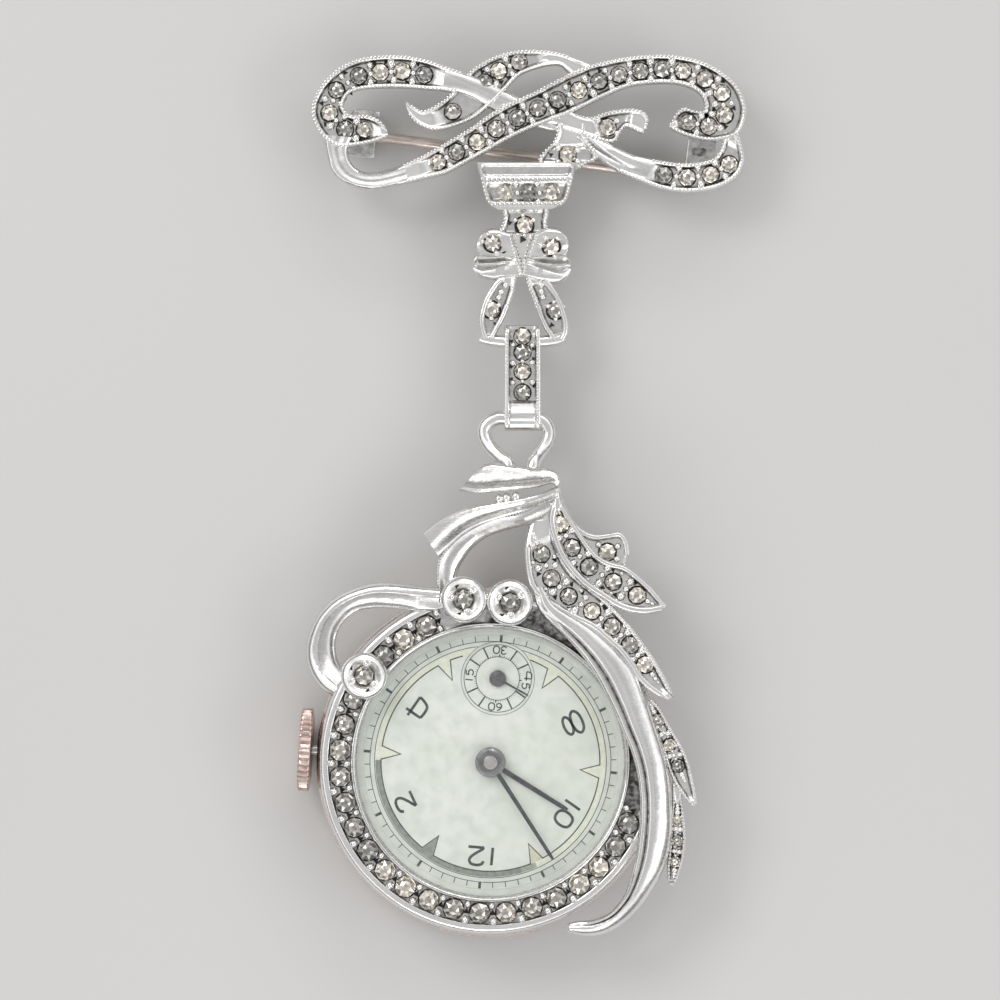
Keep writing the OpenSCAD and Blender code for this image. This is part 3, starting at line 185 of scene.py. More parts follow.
LOBE_RIGHT = [[49, 48, 49, 37.5], [59, 49, 58, 37], [68, 49.6, 68, 35.6], [78, 49.8, 80, 34.8],
    [88, 50.2, 90, 35], [95.6, 49.6, 96.4, 37.4], [99.4, 46.4, 99.8, 40.6]]
TAIL_LEFT = [[46, 40.6, 36, 43], [43.6, 34, 27, 38], [42, 29.6, 20.4, 34.6], [39.4, 25.4, 15, 30.4],
    [36.6, 21.4, 10.4, 26], [33.6, 17.4, 7.2, 21], [29.8, 13.4, 5.2, 15.6], [25.4, 9.4, 6.4, 10],
    [21, 5, 9.6, 4.6]]
TAIL_RIGHT = [[64, 43, 53, 40.4], [74, 37.5, 54.8, 34.6], [80.6, 34, 57.6, 30.4], [86.4, 30, 61, 26.2],
    [91, 25.6, 64, 21.6], [94.8, 20, 67, 17], [97.4, 14.4, 70.6, 12.6], [97.6, 8.4, 75.6, 8.4],
    [93.4, 4, 82.6, 4]]
KNOT_LEFT = [[43, 61, 37, 60.6], [45, 55, 39.6, 55], [47.4, 50, 42.4, 50], [49.4, 45, 45.4, 44.6],
    [51, 39, 48, 39]]
KNOT_RIGHT = [[66, 60.6, 59, 61], [62.4, 55, 56, 55], [58.6, 50, 53.4, 50], [55, 45, 51.2, 45],
    [52.4, 39, 49.4, 39]]
CUP_STONES = [[32.5, 83.4], [56, 83], [80, 83.5]]
# Stones of the bow: x, y, the millimetres of their floor and of their prongs over the bow's top, how far
# out the prongs stand and at what turn they start, and the turn of the small cut beside them
BOW_STONES = [[52.5, 65.8, -0.34, -0.1, 0.86, 0, 170], [20, 56, 0.2, 0.32, 0.86, 20, -40],
    [80, 54, 0.2, 0.32, 0.86, 20, 190], [18.5, 20.5, -0.34, -0.1, 0.72, 0, -75],
    [84.5, 20, -0.34, -0.1, 0.72, 0, -105]]
NECK_BEADS = [[40, 74], [52, 75.2], [64, 74], [40, 58.6], [64, 58.6]]
# Stones of the link: y in millimetres
LINK_STONES = [8.3, 9.98, 11.55, 12.86]
# Leaves of the scrollwork, as for the bands
LEAF_SHORT = [[19.4, 75, 18, 72], [21.6, 70, 19, 66], [24.4, 66.6, 22, 61], [28.2, 64.8, 25.4, 57.4],
    [32, 65, 29.2, 54.6], [35.4, 65.5, 33, 53.8], [37.2, 63.4, 35.4, 54.4], [37.7, 59.8, 36.8, 55.6]]
LEAF_TOP = [[18.6, 77.6, 17.2, 77], [19.6, 73.2, 16, 73], [21.6, 69.6, 15.2, 69], [24, 65.8, 16, 64.6],
    [26.6, 62, 18, 59.2], [29.4, 58.8, 21, 54.6], [33, 56.8, 25.2, 50.2], [37.2, 55.8, 30, 47],
    [41.2, 52.8, 34.6, 44.1], [44.8, 49.4, 39.4, 42.7], [47, 46.8, 44, 42.7], [48.5, 45, 48, 44]]
LEAF_LONG = [[16.6, 71, 9.8, 67.2], [17, 65.8, 8.7, 62], [18.4, 61, 8.8, 56], [20.6, 56.4, 10.2, 50.2],
    [23.8, 52.6, 13.4, 46.4], [27.4, 49.8, 18, 43.2], [31.4, 46.6, 23, 40.6], [35, 42.9, 27.4, 38.6],
    [38.8, 38.6, 31.6, 35], [42.2, 34, 35, 32], [45, 30, 38, 28], [47.4, 26, 40.4, 24.2],
    [49.3, 22.4, 44.2, 20.8], [50.5, 19.3, 48.6, 18]]
LEAF_SIDE = [[44.6, 18.4, 42.2, 17], [46.4, 16.4, 43.2, 14], [48.6, 12.6, 44.6, 10.4], [51, 8.4, 46.2, 6.6],
    [53.2, 4.6, 47.8, 2.6], [54.9, 0.2, 49.3, -1.8], [56.2, -5, 51, -5.6], [57, -9.2, 53.8, -9.4],
    [57, -11, 55.8, -12]]
LEAF_LOW = [[52.8, -6, 50.2, -5], [53.2, -11.6, 50.2, -11.4], [53.7, -15.6, 49.8, -15.2],
    [54, -20.6, 49.5, -20], [53.7, -25, 49.2, -25], [52.8, -29, 48.8, -29], [51.6, -32.4, 49, -32.2],
    [50.4, -33.8, 49.6, -33.8]]
SHORT_STONES = [[31.9, 60]]
TOP_STONES = [[18.5, 67.5], [21.8, 61], [27, 56], [33.5, 51.6], [40.5, 48.5]]
LONG_LEAF_STONES = [[13.3, 59.4], [16.3, 52.5], [21, 47], [27.5, 43], [33.2, 38.9], [38.4, 34], [43, 28.2]]
SIDE_STONES = [[46.1, 12.3], [49.2, 5.4], [51.9, -0.5]]
LOW_STONES = [[51.6, -15.9], [51.6, -21.8], [51.2, -27.4]]
# Ribbons: left x, left y, left z, right x, right y, right z; z in hundredths of the bezel's top
UPPER_END = [[-3.2, 84.3, 88, -10, 77.2, 96], [0, 85, 88, -5, 76.4, 101], [5, 84.4, 90, 1, 76.8, 106],
    [10, 83.8, 92, 7, 77.4, 110], [14, 83.6, 96, 12, 78, 112], [17.2, 82.4, 100, 16, 79, 113],
    [18.6, 80.2, 106, 18, 78, 113]]
LOWER_END = [[-20, 65.2, 88, -15.6, 58.6, 96], [-15.5, 68.7, 90, -12.5, 61.4, 100],
    [-10.5, 71.3, 92, -8.4, 65, 104], [-5, 73, 95, -4, 67.4, 107], [0, 73.8, 98, 0.5, 69, 110],
    [5, 74.6, 101, 5, 70.4, 112], [10, 75.6, 104, 9.4, 71.6, 114], [14, 76.8, 107, 13.4, 73, 115],
    [18.4, 78.6, 110, 18, 75, 115]]
UNDER_END = [[-16, 48, 96, -11.5, 48.5, 92], [-16.3, 54, 93, -10.3, 54, 90],
    [-15.4, 58.6, 90, -8.4, 57.8, 90], [-12.7, 62.2, 90, -5.4, 61.6, 92], [-8.8, 65.5, 92, -1.6, 64.2, 95],
    [-4.3, 68, 94, 3, 65.8, 98], [0.8, 69.8, 96, 7.5, 67, 102], [5.4, 70.6, 98, 11, 67.6, 106],
    [9.8, 72.4, 100, 14, 68.4, 110], [14.6, 75.6, 104, 18, 71, 112]]
CURL = [[-44.5, 19, 93, -38, 24, 99], [-48.4, 21.2, 88, -40.8, 25.4, 94],
    [-51.8, 25.8, 82, -43, 27, 88], [-53.1, 31, 78, -44.4, 30, 84], [-52.3, 36.5, 78, -44.8, 33.4, 84],
    [-49.8, 41.8, 80, -44.2, 37, 86], [-45.5, 46.4, 84, -42, 40.6, 90], [-40, 49.3, 88, -38.6, 43.1, 95],
    [-34, 51, 92, -33.6, 44, 99], [-28, 51, 95, -28, 43.9, 102], [-22, 50.3, 98, -22, 43.4, 104],
    [-15, 49.6, 100, -16, 43.2, 104]]
SWEEP = [[14, 50, 112, 10.4, 50, 106], [17, 45.4, 113, 12.4, 44, 110], [21.6, 42.4, 113, 15.6, 40.2, 113],
    [26.4, 39.6, 113, 19, 37, 114], [31, 36, 113, 22.4, 33.4, 115], [35, 32, 113, 25.8, 29.2, 115],
    [38.8, 27.6, 112, 28.9, 24.4, 115], [41.2, 23, 111, 31.6, 19.3, 115], [43.2, 17.6, 110, 34, 14.4, 115],
    [45.2, 11.6, 109, 36.2, 9.2, 115], [47.2, 5.6, 108, 38.4, 4.2, 115], [48.9, -0.4, 107, 40, -1.4, 115],
    [49.8, -6.6, 106, 40.8, -7.4, 115], [50.2, -13, 105, 41, -13, 115], [50.1, -19, 104, 40.6, -19.2, 114],
    [49.3, -24.6, 102, 39.9, -25.4, 112], [47.4, -30.4, 100, 38.6, -31.2, 110],
    [44.4, -35.8, 97, 37, -36.2, 107], [41.4, -40.2, 94, 35, -39.4, 104], [37.6, -44.2, 91, 32.6, -41.9, 101],
    [33.4, -47, 89, 29.8, -43.4, 98], [29, -48.5, 87, 27, -44.2, 95], [25, -48.6, 86, 24, -44.5, 93],
    [22, -47.8, 86, 21.6, -44.9, 90]]
# Wire loop: x, y, and the share of the way from the hanging height up to the ribbons
LOOP_WIRE = [[4.4, 82.6, 1], [4, 85, 0.9], [1.6, 86.8, 0.6], [-0.6, 88.8, 0.3], [-2.2, 91.2, 0.1],
    [-2.9, 93.8, 0], [-1.8, 96.2, 0], [1, 97.6, 0], [4.4, 97.6, 0], [8.6, 97.6, 0], [12, 97.5, 0],
    [14.6, 96.2, 0], [15.6, 93.6, 0], [15, 91, 0.1], [13.6, 88.8, 0.3], [12.2, 86.8, 0.6],
    [11.2, 85, 0.9], [10.8, 82.6, 1]]
ROSETTES = [[-8.5, 46.5], [4.5, 45.7], [-36.5, 25]]
# Beads on the ribbon ends: x, y, z as for the ribbons
BEADS = [[1.4, 74.8, 98], [3.5, 75.1, 99], [6.2, 75.5, 101]]
# Numerals of the dial: places in millimetres from its centre, turn of their tops, height
NUMERALS = [("12", [(0.129, -7.629), (-1.161, -7.573)], -95, 1.43), ("2", [(-6.887, -3.258)], -155, 1.45),
    ("4", [(-6.45, 4.1)], -35, 1.45), ("8", [(6.621, 3.073)], -155, 1.5),
    ("10", [(6.629, -3.46), (5.919, -4.589)], -35, 1.45)]
# Digits as strokes in hundredths of their height
DIGITS = {
    "0": [[(0, 50), (26, 42), (38, 20), (40, 0), (38, -20), (26, -42), (0, -50), (-26, -42), (-38, -20),
        (-40, 0), (-38, 20), (-26, 42), (0, 50)]],
    "1": [[(0, 50), (0, 17), (0, -17), (0, -50)]],
    "2": [[(-43, 26), (-35, 43), (-7, 51), (24, 46), (36, 28), (28, 7), (0, -17), (-31, -38), (-41, -48)],
        [(-43, -49), (0, -49), (47, -49)]],
    "3": [[(-34, 36), (-16, 49), (12, 50), (30, 38), (30, 16), (14, 3), (-6, 2)],
        [(-6, 2), (18, 0), (34, -14), (34, -34), (16, -48), (-14, -50), (-36, -36)]],
    "4": [[(0, 67), (0, 20), (0, -29)], [(0, 67), (-35, 70), (-66, 66), (-80, 52), (-91, 21), (-94, 0)],
        [(-94, 0), (-40, 0), (28, 0)]],
    "5": [[(30, 48), (0, 48), (-26, 48)], [(-26, 48), (-29, 26), (-32, 4)],
        [(-32, 4), (-10, 14), (16, 11), (33, -6), (33, -30), (14, -47), (-14, -49), (-36, -34)]],
    "6": [[(24, 46), (-4, 36), (-26, 12), (-33, -14), (-24, -40), (0, -50), (25, -40), (32, -18), (20, 2),
        (-4, 6), (-28, -8)]],
    "8": [[(0, 49), (34, 43), (50, 26), (34, 9), (0, 3), (-34, 9), (-50, 26), (-34, 43), (0, 49)],
        [(0, 3), (42, -5), (62, -26), (42, -48), (0, -55), (-42, -48), (-62, -26), (-42, -5), (0, 3)]],
}


# Finishes
class Finish:
    """One material, put together node by node on the piece's own coordinates."""

    def __init__(self, name, metallic=1.0):
        """A new material with its shader, this much of it metal."""
        self.material = bpy.data.materials.new(name)
        self.material.use_nodes = True
        self.tree = self.material.node_tree
        self.shader = self.tree.nodes["Principled BSDF"]
        self.shader.inputs["Metallic"].default_value = metallic
        self.where = self.add("ShaderNodeTexCoord").outputs["Object"]

    def add(self, kind, **settings):
        """Adds a node with these settings."""
        node = self.tree.nodes.new(kind)
        for key, value in settings.items():
            setattr(node, key, value)
        return node

    def join(self, source, target):
        """Leads a source to a socket."""
        self.tree.links.new(source, target)

    def noise(self, scale, detail=3.0, stretch=None):
        """Noise with scale cells per metre, drawn out along an axis by stretch."""
        node = self.add("ShaderNodeTexNoise")
        node.inputs["Scale"].default_value = scale
        node.inputs["Detail"].default_value = detail
        where = self.where
        if stretch:
            turn = self.add("ShaderNodeMapping")
            turn.inputs["Scale"].default_value = stretch
            turn.inputs["Rotation"].default_value = (0, 0, 0.6)
            self.join(where, turn.inputs["Vector"])
            where = turn.outputs["Vector"]
        self.join(where, node.inputs["Vector"])
        return node.outputs["Fac"]

    def ramp(self, source, stops):
        """Colours at their places along the source."""
        node = self.add("ShaderNodeValToRGB")
        points = node.color_ramp.elements
        while len(points) < len(stops):
            points.new(0.5)
        for point, (place, colour) in zip(points, stops):
            point.position = place
            point.color = (*colour, 1)
        self.join(source, node.inputs["Fac"])
        return node.outputs["Color"]

    def level(self, source, low, high, start=0.3, end=0.7):
        """Source from start to end spread over low to high."""
        node = self.add("ShaderNodeMapRange")
        for key, value in (("From Min", start), ("From Max", end), ("To Min", low), ("To Max", high)):
            node.inputs[key].default_value = value
        self.join(source, node.inputs["Value"])
        return node.outputs["Result"]

    def maths(self, operation, a, b):
        """A sum or product of two values, each a number or a source."""
        node = self.add("ShaderNodeMath", operation=operation)
        for socket, value in zip(node.inputs, (a, b)):
            if isinstance(value, (int, float)):
                socket.default_value = value
            else:
                self.join(value, socket)
        return node.outputs["Value"]

    def mark(self, name):
        """What the mesh's points carry under this name."""
        return self.add("ShaderNodeAttribute", attribute_name=name).outputs["Fac"]

    def blend(self, share, under, over):
        """The colour over laid on the source under, by share."""
        node = self.add("ShaderNodeMix", data_type="RGBA")
        self.join(share, node.inputs[0])
        self.join(under, node.inputs[6])
        node.inputs[7].default_value = (*over, 1)
        return node.outputs[2]

    def colour(self, source):
        """Leads a source to the colour."""
        self.join(source, self.shader.inputs["Base Color"])

    def rough(self, source):
        """Leads a source to the roughness."""
        self.join(source, self.shader.inputs["Roughness"])

    def bump(self, height, strength, distance):
        """Fine relief, its distance in metres."""
        node = self.add("ShaderNodeBump")
        node.inputs["Strength"].default_value = strength
        node.inputs["Distance"].default_value = distance
        self.join(height, node.inputs["Height"])
        self.join(node.outputs["Normal"], self.shader.inputs["Normal"])


def polished_metal(name, bright, dull, recess, rough_low, rough_high):
    """Worn metal: dull patches, fine scratches, soft hammering, and dark in the recesses, partly oxide and
    partly painted shade.
    """
    made = Finish(name)
    patches = made.ramp(made.noise(260, 4), [(0.36, bright), (0.68, dull)])
    edge = made.noise(2400, 3)
    # Dark in the hollows: partly oxide, partly painted shade
    oxide_and_shade_share = made.maths("MULTIPLY", made.mark("oxide_and_shade"), made.level(edge, 0.55, 1.25))
    made.colour(made.blend(oxide_and_shade_share, patches, recess))
    scratches = made.level(made.noise(1500, 5, (1, 9, 3)), rough_low, rough_high)
    made.rough(made.maths("ADD", scratches, made.maths("MULTIPLY", oxide_and_shade_share, 0.25)))
    relief = made.maths("ADD", made.noise(800, 2), made.maths("MULTIPLY", made.noise(2600, 4), 0.22))
    made.bump(relief, 0.26, 0.00016)
    return made.material


def cut_stone():
    """Pyrite: each stone has its own tone, with small dull spots."""
    made = Finish("marcasite")
    tone = made.ramp(made.mark("tone"), [(0.0, (0.32, 0.315, 0.30)), (0.35, (0.52, 0.50, 0.46)),
                                         (0.7, (0.67, 0.63, 0.56)), (1.0, (0.83, 0.77, 0.68))])
    spots = made.level(made.noise(2600, 4), 0.0, 0.45, 0.5, 0.75)
    made.colour(made.blend(spots, tone, (0.13, 0.125, 0.12)))
    made.rough(made.level(made.noise(1900, 3), 0.1, 0.22))
    made.bump(made.noise(3200, 2), 0.12, 0.00006)
    return made.material


def dark_seat():
    """Near-black metal under and between the stones: partly blackened metal, partly painted shade in the gaps
    round the stones and in the cuts.
    """
    made = Finish("blackened_and_shaded_seat", metallic=0.55)
    made.colour(made.ramp(made.noise(2200, 3), [(0.3, (0.012, 0.012, 0.012)), (0.75, (0.06, 0.058, 0.055))]))
    made.rough(made.level(made.noise(2600, 2), 0.45, 0.75))
    made.bump(made.noise(4200, 2), 0.3, 0.00005)
    return made.material


def pin_finish():
    """Warm worn steel, drawn along the pin."""
    made = Finish("pin_metal")
    made.colour(made.ramp(made.noise(420, 5), [(0.35, (0.84, 0.74, 0.67)), (0.7, (0.62, 0.54, 0.49))]))
    drawn_lines = made.noise(2100, 4, (0.08, 6, 6))
    made.rough(made.level(drawn_lines, 0.24, 0.42))
    made.bump(drawn_lines, 0.2, 0.00006)
    return made.material


def rose_finish():
    """Rose plating that has worn pale, darker between the ribs, partly tarnish and partly painted shade."""
    made = Finish("rose_plate")
    worn = made.ramp(made.noise(900, 4), [(0.38, (0.93, 0.72, 0.64)), (0.66, (0.85, 0.75, 0.70))])
    # Darker between the ribs: partly tarnish, partly painted shade
    oxide_and_shade_share = made.maths("MULTIPLY", made.mark("oxide_and_shade"), made.level(made.noise(2600, 2), 0.5, 0.95))
    made.colour(made.blend(oxide_and_shade_share, worn, (0.2, 0.13, 0.115)))
    made.rough(made.level(made.noise(1800, 4), 0.2, 0.4))
    made.bump(made.noise(1500, 3), 0.15, 0.00008)
    return made.material


def dial_finish():
    """Silvered dial: satin, faintly mottled and greenish, with darker clouds."""
    made = Finish("dial_paint", metallic=0.25)
    mottle = made.ramp(made.noise(900, 6), [(0.32, (0.70, 0.71, 0.65)), (0.52, (0.775, 0.778, 0.722)),
                                            (0.72, (0.83, 0.825, 0.778))])
    cloud = made.level(made.noise(130, 3), 0.0, 0.35, 0.42, 0.75)
    made.colour(made.blend(cloud, mottle, (0.67, 0.68, 0.60)))
    made.rough(made.level(made.noise(2400, 3), 0.36, 0.52))
    made.bump(made.noise(6200, 2), 0.08, 0.00003)
    return made.material


def ink_finish(name, thick, thin):
    """Matt printing ink between a thick and a thin tone."""
    made = Finish(name, metallic=0.0)
    made.colour(made.ramp(made.noise(2800, 4), [(0.35, thick), (0.75, thin)]))
    made.rough(made.level(made.noise(3600, 2), 0.42, 0.6))
    made.bump(made.noise(5200, 2), 0.1, 0.00002)
    return made.material


def steel_finish(name, bright, dull, rough_low, rough_high):
    """Steel or brass with fine turned lines."""
    made = Finish(name)
    made.colour(made.ramp(made.noise(1400, 4), [(0.35, bright), (0.72, dull)]))
    made.rough(made.level(made.noise(2600, 4, (1, 9, 1)), rough_low, rough_high))
    made.bump(made.noise(3200, 2), 0.1, 0.00003)
    return made.material


def glass_finish():
    """Clear crystal with faint rubbing; rays on their way to a lamp pass it."""
    made = Finish("watch_glass", metallic=0.0)
    made.shader.inputs["Transmission Weight"].default_value = 1.0
    made.shader.inputs["IOR"].default_value = 1.46
    made.colour(made.ramp(made.noise(300, 2), [(0.3, (0.975, 0.985, 0.98)), (0.8, (0.94, 0.965, 0.955))]))
    made.rough(made.level(made.noise(800, 5, (1, 7, 1)), 0.0, 0.035, 0.5, 0.8))
    way = made.add("ShaderNodeLightPath")
    clear = made.add("ShaderNodeBsdfTransparent")
    clear.inputs["Color"].default_value = (0.95, 0.97, 0.96, 1)
    either = made.add("ShaderNodeMixShader")
    made.join(way.outputs["Is Shadow Ray"], either.inputs[0])
    made.join(made.shader.outputs[0], either.inputs[1])
    made.join(clear.outputs[0], either.inputs[2])
    made.join(either.outputs[0], made.tree.nodes["Material Output"].inputs["Surface"])
    return made.material


def floor_finish():
    """Pale matt paper."""
    made = Finish("pale_floor", metallic=0.0)
    made.colour(made.ramp(made.noise(6, 2), [(0.3, (0.63, 0.62, 0.605)), (0.7, (0.67, 0.66, 0.645))]))
    made.shader.inputs["Roughness"].default_value = 0.85
    return made.material


silver = polished_metal("silver", (0.96, 0.95, 0.93), (0.87, 0.86, 0.84), (0.085, 0.082, 0.077), 0.15, 0.3)
case_silver = polished_metal("case_plate", (0.90, 0.82, 0.79), (0.80, 0.70, 0.66), (0.1, 0.085, 0.08),
                             0.18, 0.32)
METAL = [silver, cut_stone(), dark_seat()]
STONE = 1
SEAT = 2


# Points and bands
def row_at(rows, u):
    """The table's row at u, on a smooth curve through its neighbours."""
    last = len(rows) - 1
    i = min(int(u), last - 1)
    t = u - i
    near = zip(rows[max(i - 1, 0)], rows[i], rows[i + 1], rows[min(i + 2, last)])
    return [0.5 * (2 * b + (c - a) * t + (2 * a - 5 * b + 4 * c - d) * t * t
                   + (3 * b - a - 3 * c + d) * t ** 3) for a, b, c, d in near]


def stations(rows, steps):
    """The values of u down the whole table."""
    count = (len(rows) - 1) * steps
    return [k / steps for k in range(count + 1)]


def up(z):
    """A step of z upwards."""
    return Vector((0, 0, z))


def put(place, x, y, z=0.0):
    """A point given in hundredths of a place's width and height."""
    return Vector((place[0] + x * place[2] / 100, place[1] + y * place[3] / 100, z))


def polar(r, turn, z=0.0, about=centre):
    """A point at radius r and turn degrees round the watch's centre or another point."""
    a = math.radians(turn)
    return about + Vector((r * math.cos(a), r * math.sin(a), z))


def sides(rows, place, top):
    """Returns a function of u that gives the left and right edge points of a band."""
    def at(u):
        r = row_at(rows, u)
        if len(r) == 6:
            left_z, right_z = r[2] * bezel_top / 100, r[5] * bezel_top / 100
            return put(place, r[0], r[1], left_z), put(place, r[3], r[4], right_z)
        z = top * (r[4] / 100 if len(r) == 5 else 1)
        return put(place, r[0], r[1], z), put(place, r[2], r[3], z)
    return at


def middle(at, u):
    """The point half way across a band."""
    left, right = at(u)
    return (left + right) / 2


def nearest(at, us, point):
    """The value among us where a band's middle passes closest to the point, seen from above."""
    return min(us, key=lambda u: (middle(at, u) - point).xy.length)


def kept_inside(at, last, point, edge):
    """Point, moved in from the rim where its band is narrow."""
    left, right = at(nearest(at, [k * last / 120 for k in range(121)], point))
    home = (left + right) / 2
    out = Vector((point.x - home.x, point.y - home.y, 0))
    room = max(0.5 * (left - right).length - edge, 0.05)
    return point if out.length < room else Vector((home.x, home.y, point.z)) + out * (room / out.length)


def near_middle(at, last, point):
    """The point moved onto a band's middle line, most of the way."""
    home = middle(at, nearest(at, [k / 8 for k in range(last * 8 + 1)], point))
    return point.lerp(Vector((home.x, home.y, point.z)), 0.6)


def edge_line(at, u0, u1, side, inset, steps):
    """Points a little inside one edge of a band; side 0 is its left edge."""
    points = []
    for k in range(steps + 1):
        edge, far = at(u0 + (u1 - u0) * k / steps)
        if side:
            edge, far = far, edge
        points.append(edge + (far - edge).normalized() * min(inset, 0.3 * (far - edge).length))
    return points


def resampled(points, pitch):
    """Points at even steps of about pitch along a line."""
    lengths = [(b - a).length for a, b in zip(points, points[1:])]
    total = sum(lengths)
    count = max(1, round(total / pitch))
    found, i, gone = [], 0, 0.0
    for k in range(count + 1):
        want = total * k / count
        while i < len(lengths) - 1 and gone + lengths[i] < want:
            gone += lengths[i]
            i += 1
        share = min(max((want - gone) / max(lengths[i], 1e-6), 0), 1)
        found.append(points[i].lerp(points[i + 1], share))
    return found


def fade(u, start, end, run=0.5):
    """Rises from 0 to 1 after start and falls again before end."""
    t = min(max((u - start) / run, 0), 1) * min(max((end - u) / run, 0), 1)
    return t * t * (3 - 2 * t)


def darkness(deep, full=0.3):
    """How dark a hollow is painted, partly oxide and partly painted shade: wholly, once it is full deep."""
    return min(deep / full, 1)


def mirrored(half, width, least):
    """A face from one side's (inset, lift, darkening) points, with insets in millimetres; the darkening is
    partly oxide, partly painted shade.
    """
    wide = max(width, least)
    left = [(inset / wide, lift, dark) for inset, lift, dark in half]
    right = [(1 - share, lift, dark) for share, lift, dark in reversed(left)]
    return left + [(0.5, *half[-1][1:])] + right


def set_face(rim, depth, start, end, floor_dark=0.3, run=0.6):
    """Face of a band with rounded rims beside a channel between rows start and end; its edges, walls and
    channel floor are darkened, partly oxide and partly painted shade.
    """
    rise = 0.42 * (0.5 * rim - 0.1)

    def across(u, width):
        deep = depth * fade(u, start, end, run)
        dark = darkness(deep)
        half = [(0, -0.2, 0.2), (0.04, -0.09, 0), (0.1, 0, 0), (0.5 * rim, rise, 0), (rim - 0.09, 0, 0),
                (rim - 0.01, -0.05 - 0.1 * deep, 0.1 * dark), (rim + 0.04, -0.06 - 0.8 * deep, 0.85 * dark),
                (rim + 0.1, -0.08 - deep, 0.7 * dark), (rim + 0.22, -0.09 - deep, floor_dark * dark)]
        return mirrored(half, width, 2 * rim + 0.6)
    return across


def ribbon_face(points):
    """Face of a ribbon that is the same all along it."""
    return lambda u, width: points


# Shapes
def new_shape():
    """An empty shape whose points carry how dark they are painted (partly oxide, partly painted shade), their
    stone's tone and their place in a ring.
    """
    bm = bmesh.new()
    # The first mark darkens points: partly oxide, partly painted shade in hollows and at edges
    bm.verts.layers.float.new("oxide_and_shade")
    bm.verts.layers.float.new("tone")
    bm.verts.layers.int.new("place")
    return bm


def points_of(geometry):
    """The points among what an operator made."""
    return [g for g in geometry if isinstance(g, bmesh.types.BMVert)]


def give_finish(bm, finish):
    """Sets which of the piece's finishes the faces have."""
    for f in bm.faces:
        f.material_index = finish


def drawn(rings, finish=0, closed=False):
    """Draws a first ring of points out through the others. A ring holds (point, darkening) pairs; the
    darkening is partly oxide, partly painted shade.
    """
    bm = new_shape()
    oxide_and_shade = bm.verts.layers.float["oxide_and_shade"]
    place = bm.verts.layers.int["place"]
    first = []
    for k, (point, dark) in enumerate(rings[0]):
        v = bm.verts.new(point)
        v[oxide_and_shade], v[place] = dark, k
        first.append(v)
    edges = [bm.edges.new((first[k - 1], first[k])) for k in range(len(first))]
    if not closed:
        bm.faces.new(first)
    end = first
    for ring in rings[1:]:
        out = bmesh.ops.extrude_edge_only(bm, edges=edges)["geom"]
        edges = [g for g in out if isinstance(g, bmesh.types.BMEdge)]
        end = points_of(out)
        for v in end:
            v.co, v[oxide_and_shade] = ring[v[place]]
    if not closed:
        bm.faces.new(sorted(end, key=lambda v: v[place]))
    else:
        bmesh.ops.remove_doubles(bm, verts=bm.verts[:], dist=1e-4)
    bmesh.ops.recalc_face_normals(bm, faces=bm.faces[:])
    give_finish(bm, finish)
    return bm


def keep(piece, bm):
    """Adds a finished shape to the piece."""
    draft = kept_mesh(bm, "draft")
    piece.from_mesh(draft)
    bpy.data.meshes.remove(draft)


def kept_mesh(bm, name):
    """Turns a shape into a mesh."""
    mesh = bpy.data.meshes.new(name)
    bm.to_mesh(mesh)
    bm.free()
    return mesh


def copy_to(piece, mesh, place, marks=()):
    """Copies a small mesh into the piece, with its marks set all over it."""
    one = mesh.copy()
    one.transform(place)
    for name, value in marks:
        layer = one.attributes[name].data
        layer.foreach_set("value", [value] * len(layer))
    piece.from_mesh(one)
    bpy.data.meshes.remove(one)


def strip(piece, at, us, across, low=None, thick=None):
    """A band along at(u), down to low or thick deep; across gives its (share, lift, darkening) points. Its
    sides and underside get painted shade.
    """
    rings = []
    for u in us:
        left, right = at(u)
        face = across(u, (right - left).length)
        ring = [(left.lerp(right, share) + up(lift), dark) for share, lift, dark in face]
        if thick is None:
            foot = [Vector((right.x, right.y, low)), Vector((left.x, left.y, low))]
        else:
            foot = [right - up(thick), left - up(thick)]
        inner = [foot[0].lerp(foot[1], 0.04), foot[1].lerp(foot[0], 0.04)]
        # Painted shade on the band's sides and underside
        ring += [(foot[0] + up(0.1), 0.25), (inner[0], 0.4), (inner[1], 0.4), (foot[1] + up(0.1), 0.25)]
        rings.append(ring)
    keep(piece, drawn(rings))


def turned(piece, profile, place, steps=96, finish=0, angle=360, start=0, loop=True):
    """Turns a section of (radius, height, darkening) points round the Z axis of its place; the darkening is
    partly oxide, partly painted shade.
    """
    bm = new_shape()
    oxide_and_shade = bm.verts.layers.float["oxide_and_shade"]
    spot = []
    for r, z, dark in profile:
        v = bm.verts.new((r, 0, z))
        v[oxide_and_shade] = dark
        spot.append(v)
    pairs = list(zip(spot, spot[1:]))
    if loop:
        pairs.append((spot[-1], spot[0]))
    for a, b in pairs:
        bm.edges.new((a, b))
    bmesh.ops.rotate(bm, verts=bm.verts[:], matrix=Matrix.Rotation(math.radians(start), 3, "Z"))
    bmesh.ops.spin(bm, geom=bm.verts[:] + bm.edges[:], cent=(0, 0, 0), axis=(0, 0, 1), steps=steps,
                   angle=math.radians(angle), use_merge=angle == 360)
    bmesh.ops.remove_doubles(bm, verts=bm.verts[:], dist=1e-4)
    open_edges = [e for e in bm.edges if e.is_boundary]
    if open_edges:
        bmesh.ops.holes_fill(bm, edges=open_edges, sides=0)
    bmesh.ops.recalc_face_normals(bm, faces=bm.faces[:])
    bmesh.ops.transform(bm, matrix=place, verts=bm.verts[:])
    give_finish(bm, finish)
    keep(piece, bm)


def bright_section(points):
    """A section to be turned, without any darkening."""
    return [(r, z, 0) for r, z in points]


